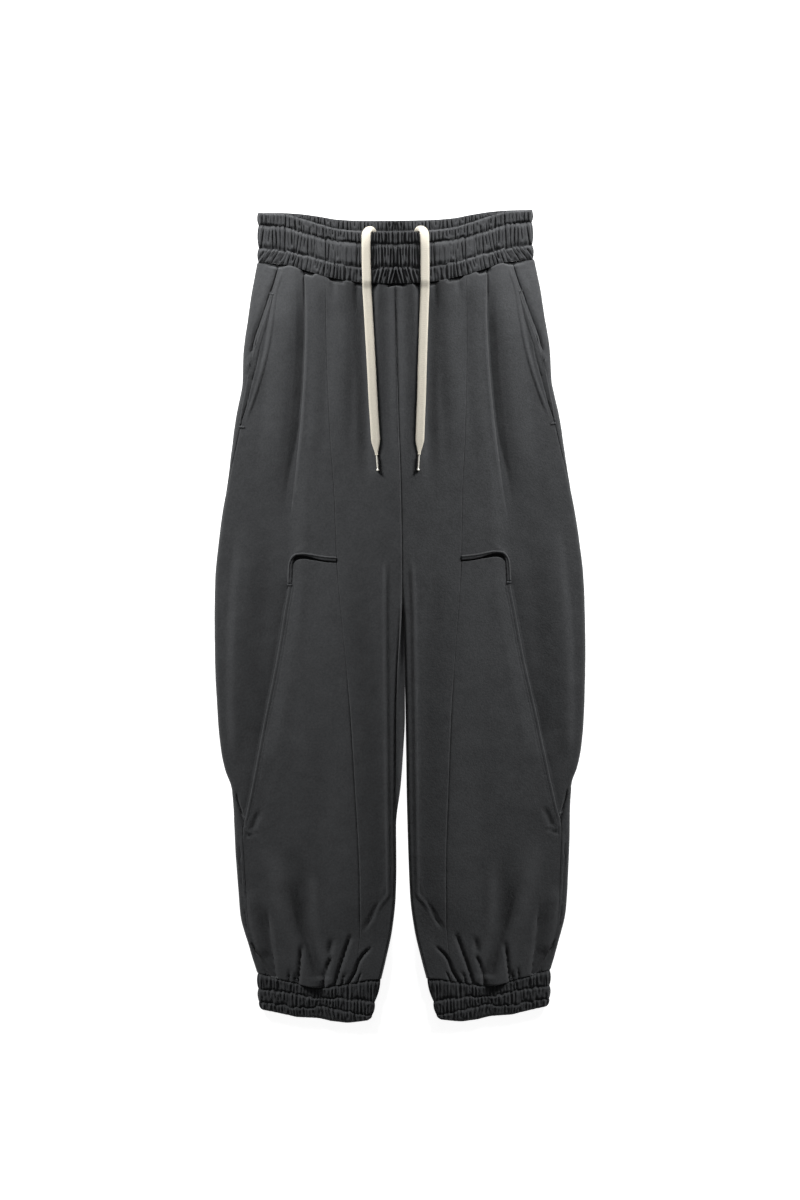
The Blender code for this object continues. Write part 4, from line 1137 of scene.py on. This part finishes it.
def row_gathers(seed, length, steps, leans):
    return [
        pleats(seed + k, length, *step, smooth_line(lean))
        for k, (step, lean) in enumerate(zip(steps, leans))
    ]


WAISTBAND = Band(
    BAND_FLOOR, BAND_GROOVE, BAND_CROWN,
    wander=1.2, rises=(0.9, 0.9, 0.9), sinks=(0.75, 0.75, 0.3), depth=1.0,
)  # fmt: skip
CUFF = Band(
    CUFF_FLOOR, CUFF_GROOVE, CUFF_CROWN,
    wander=1.9, rises=(0.4, 0.55, 0.55), sinks=(0.45, 0.45, 0.8), depth=0.6,
)  # fmt: skip


def build_waistband_front():
    def line(function, move=0.0):
        return lambda across, x: function(np.abs(x)) + move

    lines = [line(smooth_line([(row.x, row[k]) for row in WAISTBAND_LINES])) for k in (1, 2, 3)]
    lines.append(line(waist_seam_front, HALF_GAP))
    ends = [(-width, width) for width in WAISTBAND_HALF_WIDTHS]
    half = max(WAISTBAND_HALF_WIDTHS)
    gathers = row_gathers(WAISTBAND_SEED, half, WAISTBAND_STEPS, WAISTBAND_LEANS)
    return band_front("cloth_waistband_front", lines, ends, WAISTBAND, WAISTBAND_ROWS, gathers)


LEAST_STRIP = 4.0  # width of the strip that is shaped at the back's free edge
STRIP_HEIGHT = 2.4  # how far it stands up from the rest, where it shows past the front
STRIP_STARTS = 3.0  # it starts to stand up where this much of it shows
STRIP_EASE = 5.0  # and stands highest this much further
STRIP_CROWN = 0.3  # share of the strip over which it rounds off to its lower edge
STRIP_RIM = Roll(0.75, 0.16)
BACK_GATHER = 0.3  # share of their depth that the gathers have on the back
BACK_STEP = (2.8, 6.0)
BACK_SEED = 61
STRIP_SHARES = (1.2, 0.95, 0.8, 0.65, 0.5, 0.35, 0.22, 0.12, 0.05, 0.0)


def build_waistband_back():
    """The back of the band, flat underneath.  Its inside shows above the front's edge."""
    half = WAISTBAND_HALF_WIDTHS[1]
    back_top = smooth_line(BACK_TOP_EDGE)
    front_top = smooth_line([(row.x, row.edge) for row in WAISTBAND_LINES])
    x = np.linspace(-half, half, int(2 * half / BAND_ACROSS) + 1)
    top, low = back_top(np.abs(x)), front_top(np.abs(x))
    shown = top - low
    strip = np.maximum(shown, LEAST_STRIP)
    raised = STRIP_HEIGHT * ease((shown - STRIP_STARTS) / STRIP_EASE)
    gathers = pleats(BACK_SEED, half, *BACK_STEP, smooth_line(UPRIGHT))
    seam = waist_seam_back(np.abs(x)) + HALF_GAP
    outer = [np.stack([x, seam, BAND_BACK_THICK + 0 * x], axis=-1)]
    for share in STRIP_SHARES:
        crown = 0.0 if share > 1 else min(1.0, (1 - share) / STRIP_CROWN) ** 0.5
        crown = crown * (1 - rolled(share, *STRIP_RIM))
        relief = BACK_GATHER * pleated(np.abs(x), 1 - share, gathers) * crown
        height = BAND_BACK_THICK + raised * (crown + relief) + relief
        outer.append(np.stack([x, top - strip * share, height], axis=-1))
    outer = np.array(outer)
    inner = outer.copy()
    inner[..., 2] = 0.0
    return shell("cloth_waistband_back", outer, inner, BAND, sharp=85)


def cuff_lines():
    """The cuff's seam, lines and hem, as heights at a share of its width and at x."""

    def line(k):
        across_line = smooth_line([(row.share, row[k]) for row in CUFF_LINES])
        return lambda across, x: across_line(across)

    return [lambda across, x: cuff_seam(x) - SEAM_GAP] + [line(k) for k in (1, 2, 3)]


CUFF_ENDS = list(zip(CUFF_OUTER_ENDS, CUFF_INNER_ENDS))


def build_cuff_front(side, name):
    gathers = row_gathers(CUFF_SEED, CUFF_OUTER_ENDS[0], [CUFF_STEP] * 3, CUFF_LEANS)
    return band_front(f"cloth_cuff_front_{name}", cuff_lines(), CUFF_ENDS, CUFF, CUFF_ROWS, gathers, side)


CUFF_BACK_END = 4.0
CUFF_BACK_END_ROUND = 0.6
CUFF_BACK_ACROSS = 90  # points across the cuff
CUFF_BACK_PARTS = 6  # and over each tunnel row


def build_cuff_back(side, name):
    """The flat underside of a cuff."""
    shares = np.linspace(0, 1, CUFF_BACK_ACROSS)
    parts = np.linspace(0, 1, CUFF_BACK_PARTS)
    lines = cuff_lines()
    rows = []
    for k in range(3):
        for part in parts if k == 2 else parts[:-1]:
            first, last = row_ends(CUFF_ENDS, k, part)
            x = first + (last - first) * shares
            y = lines[k](shares, x) + (lines[k + 1](shares, x) - lines[k](shares, x)) * part
            height = CUFF_BACK_THICK * rounded_ends(x, CUFF_BACK_END, CUFF_BACK_END_ROUND)
            rows.append(np.stack([x, y, height], axis=-1))
    upper = np.array(rows)
    lower = upper.copy()
    lower[..., 2] = 0.0
    return shell(f"cloth_cuff_back_{name}", placed(upper, side), placed(lower, side), BAND)


# ---------------------------------------------------------------- welts


STRIP_SUNK = 1.2  # a strip's underside lies this far below the face it is sewn to
LEAST_PAST_RIM = 0.3
LIP_RIM = 2.4  # width of a strip's raised outer rim
WELT_RIM = 1.9
KNEE_LIP_SECTION = (
    (-0.3, 0, -0.5), (-0.25, 0, 0.3), (0.1, 0, 1.0), (0.5, 0, 1.7), (1.0, 0, 2.25),
    (1.5, 0, 2.35), (2.0, 0, 2.0), (LIP_RIM, 0, 1.6), (LIP_RIM, 0.15, 1.45),
    (LIP_RIM, 0.7, 1.35), (LIP_RIM, 0.92, 0.95), (LIP_RIM, 1.0, -0.3),
)  # fmt: skip
HIP_WELT_SECTION = (
    (0.0, 0, -0.5), (0.15, 0, 0.3), (0.5, 0, 0.85), (1.0, 0, 0.95), (WELT_RIM, 0, 0.75),
    (WELT_RIM, 0.4, 0.5), (WELT_RIM, 0.8, 0.45), (WELT_RIM, 0.95, 0.25), (WELT_RIM, 1.0, -0.4),
)  # fmt: skip


def strip_on_front(name, strip, section, side):
    """A narrow strip on the front along (q, y, width) points, inward of them.

    section holds (millimetres, share of the rest of the width, height above the cloth).
    """
    route, widths = strip[:, :2], strip[:, 2]
    ahead = unit(np.gradient(route, axis=0))
    inward = np.stack([ahead[:, 1], -ahead[:, 0]], axis=1)
    past_rim = np.maximum(widths - section[-1][0], LEAST_PAST_RIM)
    outer = []
    inner = []
    for fixed, share, height in section:
        places = route + inward * (fixed + share * past_rim)[:, None]
        q, y = places.T
        middle = cloth_point(q, y, side)
        normal = cloth_normal(q, y, side)
        height = HALF_CLOTH + height + uneven(STRIP_UNEVEN, q, y)
        outer.append(middle + normal * height[:, None])
        inner.append(middle + normal * (HALF_CLOTH - STRIP_SUNK))
    return shell(name, placed(np.array(outer), side), placed(np.array(inner), side), FLEECE)


def dense(route, step):
    """A smooth route through the points, with places a step apart."""
    route = np.array(route, float)
    lengths = lengths_along(route)
    at = np.linspace(0, lengths[-1], int(lengths[-1] / step) + 1)
    return np.stack([smooth_line(list(zip(lengths, values)))(at) for values in route.T], axis=1)


StripPlace = namedtuple("StripPlace", "x y width")
KNEE_LIP = (
    StripPlace(78.2, 75.2, 6.0), StripPlace(90, 76.2, 6.0), StripPlace(100, 77.6, 5.4),
    StripPlace(110, 79.6, 4.2), StripPlace(120, 80.9, 3.2), StripPlace(128, 80.2, 3.0),
    StripPlace(133.6, 76.6, 3.6), StripPlace(136.7, 71.6, 5.0), StripPlace(138.2, 66, 5.4),
    StripPlace(138.9, 55, 5.6), StripPlace(139.4, 43.8, 5.6),
)  # fmt: skip
HIP_WELT = (
    StripPlace(155.2, 402, 2.6), StripPlace(161.4, 383, 3.6), StripPlace(165.8, 370, 4.2),
    StripPlace(169.4, 360, 4.8), StripPlace(174.6, 345, 5.8), StripPlace(178.2, 335, 6.4),
    StripPlace(181.8, 322, 7.0), StripPlace(186.8, 300, 7.4),
    StripPlace(190.4, 280, 6.4), StripPlace(194.2, 262, 4.8), StripPlace(197.4, 243, 2.6),
)  # fmt: skip


def build_knee_welt(side, name):
    """Rolled lip along the knee pocket's opening, its corner and down to the bar tack."""
    return strip_on_front(f"cloth_knee_welt_{name}", dense(KNEE_LIP, 0.9), KNEE_LIP_SECTION, side)


def build_hip_welt(side, name):
    """Flat welt inside the hip pocket's opening, between its bar tacks."""
    return strip_on_front(f"cloth_hip_welt_{name}", dense(HIP_WELT, 1.2), HIP_WELT_SECTION, side)


# ---------------------------------------------------------------- stitches


def surface_points(route, side, lift):
    """Points over the cloth's face along (q, y) places."""
    q, y = np.asarray(route, float).T
    return cloth_point(q, y, side) + cloth_normal(q, y, side) * (HALF_CLOTH + lift)


STITCH = 3.0  # length of a stitch
STITCH_PITCH = 3.8
STITCH_RADIUS = 0.24
STITCH_LIFTS = (-0.4, 0.12, 0.22, 0.12, -0.4)  # of a thread's points above the cloth
TACK_PITCH = 0.42
TACK_RADIUS = 0.27
TACK_LIFTS = (-0.4, 0.45, 0.62, 0.45, -0.4)
THREAD_SIDES = 5
BarTack = namedtuple("BarTack", "q y length height turn lift")
BAR_TACKS = (
    BarTack(136.9, 41.0, 5.6, 3.4, 0.0, 0.8),
    BarTack(194.2, 238.4, 5.6, 2.4, 0.1, 0.3),
    BarTack(154.6, 404.0, 5.0, 2.0, 0.3, 0.2),
)
# A row of stitches: its distance outward from the pocket's line, its ends, and its points
StitchRow = namedtuple("StitchRow", "outward top low count")
STITCH_ROWS = (
    StitchRow(-POCKET_STITCHES[0], 36, -262, 26),
    StitchRow(-POCKET_STITCHES[1], 36, -262, 26),
    StitchRow(2.6, -285, -395, 12),
)


def thread(places, lifts, radius, side):
    """Rings of a short thread over (q, y) places, which dives into the cloth at both ends."""
    points = surface_points(places, side, np.array(lifts)[:, None])
    across, up = directions(points)
    angles = np.linspace(0, 2 * math.pi, THREAD_SIDES, endpoint=False)
    circle = np.cos(angles)[:, None, None] * across + np.sin(angles)[:, None, None] * up
    return points[:, None] + radius * np.moveaxis(circle, 0, 1)


def stitch_row(row, side):
    """Threads of a row of stitches beside the pocket's line."""
    levels = np.linspace(row.top, row.low, row.count)
    route = dense(np.stack([pocket_line(levels) + row.outward, levels], axis=1), 0.5)
    lengths = lengths_along(route)
    threads = []
    for start in np.arange(0, lengths[-1] - STITCH, STITCH_PITCH):
        at = start + np.linspace(0, STITCH, len(STITCH_LIFTS))
        places = np.stack([np.interp(at, lengths, values) for values in route.T], axis=1)
        threads.append(thread(places, STITCH_LIFTS, STITCH_RADIUS, side))
    return threads


def bar_tack(tack, side):
    """Close threads over a short bar."""
    direction = np.array([math.cos(tack.turn), math.sin(tack.turn)])
    upright = np.array([-direction[1], direction[0]])
    across = np.linspace(-tack.height / 2, tack.height / 2, len(TACK_LIFTS))
    lifts = np.array(TACK_LIFTS) + tack.lift
    threads = []
    for along in np.linspace(-tack.length / 2, tack.length / 2, int(tack.length / TACK_PITCH)):
        middle = np.array([tack.q, tack.y]) + direction * along
        places = middle + across[:, None] * upright
        threads.append(thread(places, lifts, TACK_RADIUS, side))
    return threads


def build_stitches(side, name):
    """Stitches inside the knee pocket's slanted edge and below it, and the bar tacks."""
    threads = stitch_row(STITCH_ROWS[0], side) + stitch_row(STITCH_ROWS[1], side)
    for tack in BAR_TACKS:
        threads += bar_tack(tack, side)
    threads += stitch_row(STITCH_ROWS[2], side)
    rings = np.array(threads)
    count, length, sides = rings.shape[:3]
    index = np.arange(count * length * sides).reshape(count, length, sides)
    beyond = np.roll(index, -1, axis=2)
    quads = np.stack([index[:, :-1], beyond[:, :-1], beyond[:, 1:], index[:, 1:]], axis=-1)
    quads = quads.reshape(-1, 4)
    vertices = placed(rings.reshape(-1, 3), side)
    if not faces_outward(vertices, quads):
        quads = quads[:, ::-1]
    return mesh_object(f"stitches_{name}", vertices, quads.tolist(), THREAD)


# ---------------------------------------------------------------- drawstrings


BAND_FULLEST = BAND_CROWN + 0.6  # height of the front band's fullest rows
BRAID_STEP = 0.7  # between the rings of a tape
TAPE_SIDES = 28
TAPE_LEAST_THICK = 0.75  # share of its thickness that a narrow end keeps
STRAND_HEIGHT = 0.13
STRAND_PITCH = 2.4
STRAND_LEAN = 0.9
MIDDLE_GROOVE = 0.16
MIDDLE_GROOVE_WIDTH = 0.7


def lies_on(x, y, side, spread=0.0):
    """Height of the upper face under a place on the front, or under a width there."""
    heights = []
    for place in (x - spread, x, x + spread):
        if y > float(waist_seam_front(place)):
            heights.append(BAND_FLOOR + BAND_FULLEST)
        else:
            face = front_height(np.array(place), np.array(float(y)), side)
            heights.append(float(face) + HALF_CLOTH)
    return max(heights)


def tape_points(side):
    """Smooth points along a drawstring, and the length left to its end."""
    coarse = [np.array(point) for point in TAPE_START]
    for point in TAPE_ROUTE:
        height = lies_on(point.x, point.y, side, TAPE_EDGE) + TAPE_CLEAR + TAPE_THICK / 2
        coarse.append(np.array([point.x, point.y, height]))
    points = dense(coarse, BRAID_STEP)
    lengths = lengths_along(points)
    return points, lengths[-1] - lengths


def narrowed(distance, length, share):
    """Share of the tape's width at a distance from an end that is drawn in to a share of it."""
    return share + (1 - share) * ease(distance / length)


def build_drawstring(side, name):
    """Flat braided tape with a herringbone of raised strands."""
    points, to_end = tape_points(side)
    along = np.linspace(to_end[0], 0, len(points))[:, None]
    across, up = directions(points)
    scale = narrowed(to_end, TAPE_TAPER_LENGTH, TAPE_END_SCALE)
    scale = scale * narrowed(to_end[0] - to_end, TAPE_START_LENGTH, TAPE_START_SCALE)
    angles = np.linspace(0, 2 * math.pi, TAPE_SIDES, endpoint=False)
    wide = np.sign(np.cos(angles)) * np.abs(np.cos(angles)) ** 0.7 * TAPE_WIDTH / 2
    thick = np.sign(np.sin(angles)) * np.abs(np.sin(angles)) ** 0.8 * TAPE_THICK / 2
    phase = (along + STRAND_LEAN * np.abs(wide)) / STRAND_PITCH
    strands = STRAND_HEIGHT * np.sin(2 * math.pi * phase)
    strands = strands - MIDDLE_GROOVE * np.exp(-((wide / MIDDLE_GROOVE_WIDTH) ** 2))
    lifted = (thick + np.sign(thick) * strands) * np.maximum(scale, TAPE_LEAST_THICK)[:, None]
    rings = points[:, None] + across[:, None] * (wide * scale[:, None])[..., None]
    rings = rings + up[:, None] * lifted[..., None]
    return tube(f"tape_{name}", placed(rings, side), COTTON), placed(points, side)


# Stations of a metal end: share of its length, and radius as a share of AGLET_RADIUS
AGLET_PROFILE = (
    (0.0, 0.7), (0.0, 1.1), (0.03, 1.2), (0.85, 1.15), (0.9, 1.3), (0.94, 1.7), (0.965, 2.0),
    (0.985, 2.0), (1.0, 1.8), (1.0, 1.1),
)  # fmt: skip
AGLET_SIDES = 32


def build_aglet(side, name):
    """Thin metal tube with a flared tip."""
    ends = [
        np.array([x, y, lies_on(x, y, side) + TAPE_CLEAR + AGLET_TIP_RADIUS])
        for x, y in (AGLET_START, AGLET_END)
    ]
    across, up = directions(np.array(ends))
    angles = np.linspace(0, 2 * math.pi, AGLET_SIDES, endpoint=False)[:, None]
    circle = AGLET_RADIUS * (np.cos(angles) * across[0] + np.sin(angles) * up[0])
    axis = ends[1] - ends[0]
    rings = np.array([ends[0] + axis * share + scale * circle for share, scale in AGLET_PROFILE])
    return tube(f"aglet_metal_{name}", placed(rings, side), METAL, 40)


# ---------------------------------------------------------------- studio


# Places and sizes in metres, strengths in watts
AreaLight = namedtuple("AreaLight", "name place aim watts")
AREA_LIGHTS = (
    AreaLight("side_light_R", (-1.04, 1.36, 0.74), (-0.12, 0.1, 0), 45),
    AreaLight("side_light_L", (1.04, 1.36, 0.74), (0.12, 0.1, 0), 45),
    AreaLight("waist_light", (0, 1.05, 0.95), (0, 0.3, 0), 2.5),
)
LIGHT_SIZE = 0.5
FLOOR_HALF = 4.0
FLOOR_LEVEL = -0.0003
CARD_HALF_LENGTH = 0.5
CARD_LOW = 0.0076
CARD_TOP = 0.5


def build_camera():
    lens = bpy.data.cameras.new("camera")
    lens.lens = LENS
    lens.sensor_width = SENSOR
    lens.sensor_fit = "AUTO"
    lens.clip_end = 50
    camera = add_object("camera", lens)
    away = PHOTO_HEIGHT * LENS / SENSOR
    camera.location = (PHOTO_CENTRE[0] * MM, PHOTO_CENTRE[1] * MM, away * MM)
    camera.rotation_euler = (0, 0, -PHOTO_TURN)
    bpy.context.scene.camera = camera


def area_light(name, place, aim, watts):
    data = bpy.data.lights.new(name, "AREA")
    data.shape = "DISK"
    data.size = LIGHT_SIZE
    data.energy = watts
    light = add_object(name, data)
    light.location = place
    light.rotation_euler = (Vector(aim) - Vector(place)).to_track_quat("-Z", "Y").to_euler()


def flat_stage(name, corners, material):
    data = bpy.data.meshes.new(name)
    data.from_pydata(corners, [], [(0, 1, 2, 3)])
    data.materials.append(material)
    made = add_object(name, data)
    return made


def build_world():
    world = bpy.data.worlds.new("studio")
    bpy.context.scene.world = world
    world.use_nodes = True
    background = world.node_tree.nodes["Background"]
    background.inputs["Color"].default_value = (1, 1, 1, 1)
    background.inputs["Strength"].default_value = 0.1


def build_floor():
    """White paper, lit evenly by itself."""
    paper, shader = new_material("paper", (0.62, 0.62, 0.62), 0.9)
    shader.inputs["Emission Color"].default_value = (1, 1, 1, 1)
    shader.inputs["Emission Strength"].default_value = 0.9
    half = FLOOR_HALF
    corners = [(x, y, FLOOR_LEVEL) for x, y in ((-half, -half), (half, -half), (half, half), (-half, half))]
    flat_stage("floor", corners, paper)


def build_card():
    """A dark card over the middle line, which keeps each side light on its own leg."""
    card, _ = new_material("card", (0.015, 0.015, 0.015), 1.0)
    low = [(0, -CARD_HALF_LENGTH, CARD_LOW), (0, CARD_HALF_LENGTH, CARD_LOW)]
    top = [(0, CARD_HALF_LENGTH, CARD_TOP), (0, -CARD_HALF_LENGTH, CARD_TOP)]
    flat_stage("card", low + top, card).visible_camera = False


def build_studio():
    """White floor, two soft side lights above the waist end, and a card that parts them."""
    build_world()
    build_floor()
    for light in AREA_LIGHTS:
        area_light(*light)
    build_card()
    bpy.context.scene.view_settings.view_transform = "Standard"


# ---------------------------------------------------------------- the garment


def ride(piece, nodes):
    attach(piece, "root")
    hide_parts(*nodes)


# What was cut of each cloth piece before it was sewn, as far as it shows: metres and square
# metres
Cut = namedtuple("Cut", "width length area held")


def add_cloth(piece, node):
    """Puts a cloth piece in its solid's place."""
    ride(piece, [node])
    return piece


def add_stitches(side, name):
    stitches = build_stitches(side, name)
    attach(stitches, "root")
    return stitches


def build_leg(side, name):
    """The cloth of one leg, from the table up."""
    back = add_cloth(build_back(side, name), f"back_{name}")
    add_cloth(build_front_centre(side, name), f"front_centre_{name}")
    outer = add_cloth(build_side_front(side, name), f"front_side_{name}")
    pocket = build_knee_pocket(side, name)
    stitches = add_stitches(side, name)
    add_cloth(pocket, f"knee_pocket_{name}")
    cuff = add_cloth(build_cuff_back(side, name), f"cuff_back_{name}")
    add_cloth(build_cuff_front(side, name), f"cuff_front_{name}")
    add_cloth(build_knee_welt(side, name), f"knee_pocket_welt_{name}")
    add_cloth(build_hip_welt(side, name), f"hip_pocket_welt_{name}")


def add_cord(side, name):
    """A free end of the drawstring with its metal tip."""
    tape, path = build_drawstring(side, name)
    ride(tape, [f"drawstring_{name}"])
    aglet = build_aglet(side, name)
    ride(aglet, [f"aglet_{name}"])
    path = path * MM


def build():
    build_camera()
    build_studio()
    for side, name in ((1, "L"), (-1, "R")):
        add_cord(side, name)
        build_leg(side, name)
    back = add_cloth(build_waistband_back(), "waistband_back")
    add_cloth(build_waistband_front(), "waistband_front")


build()
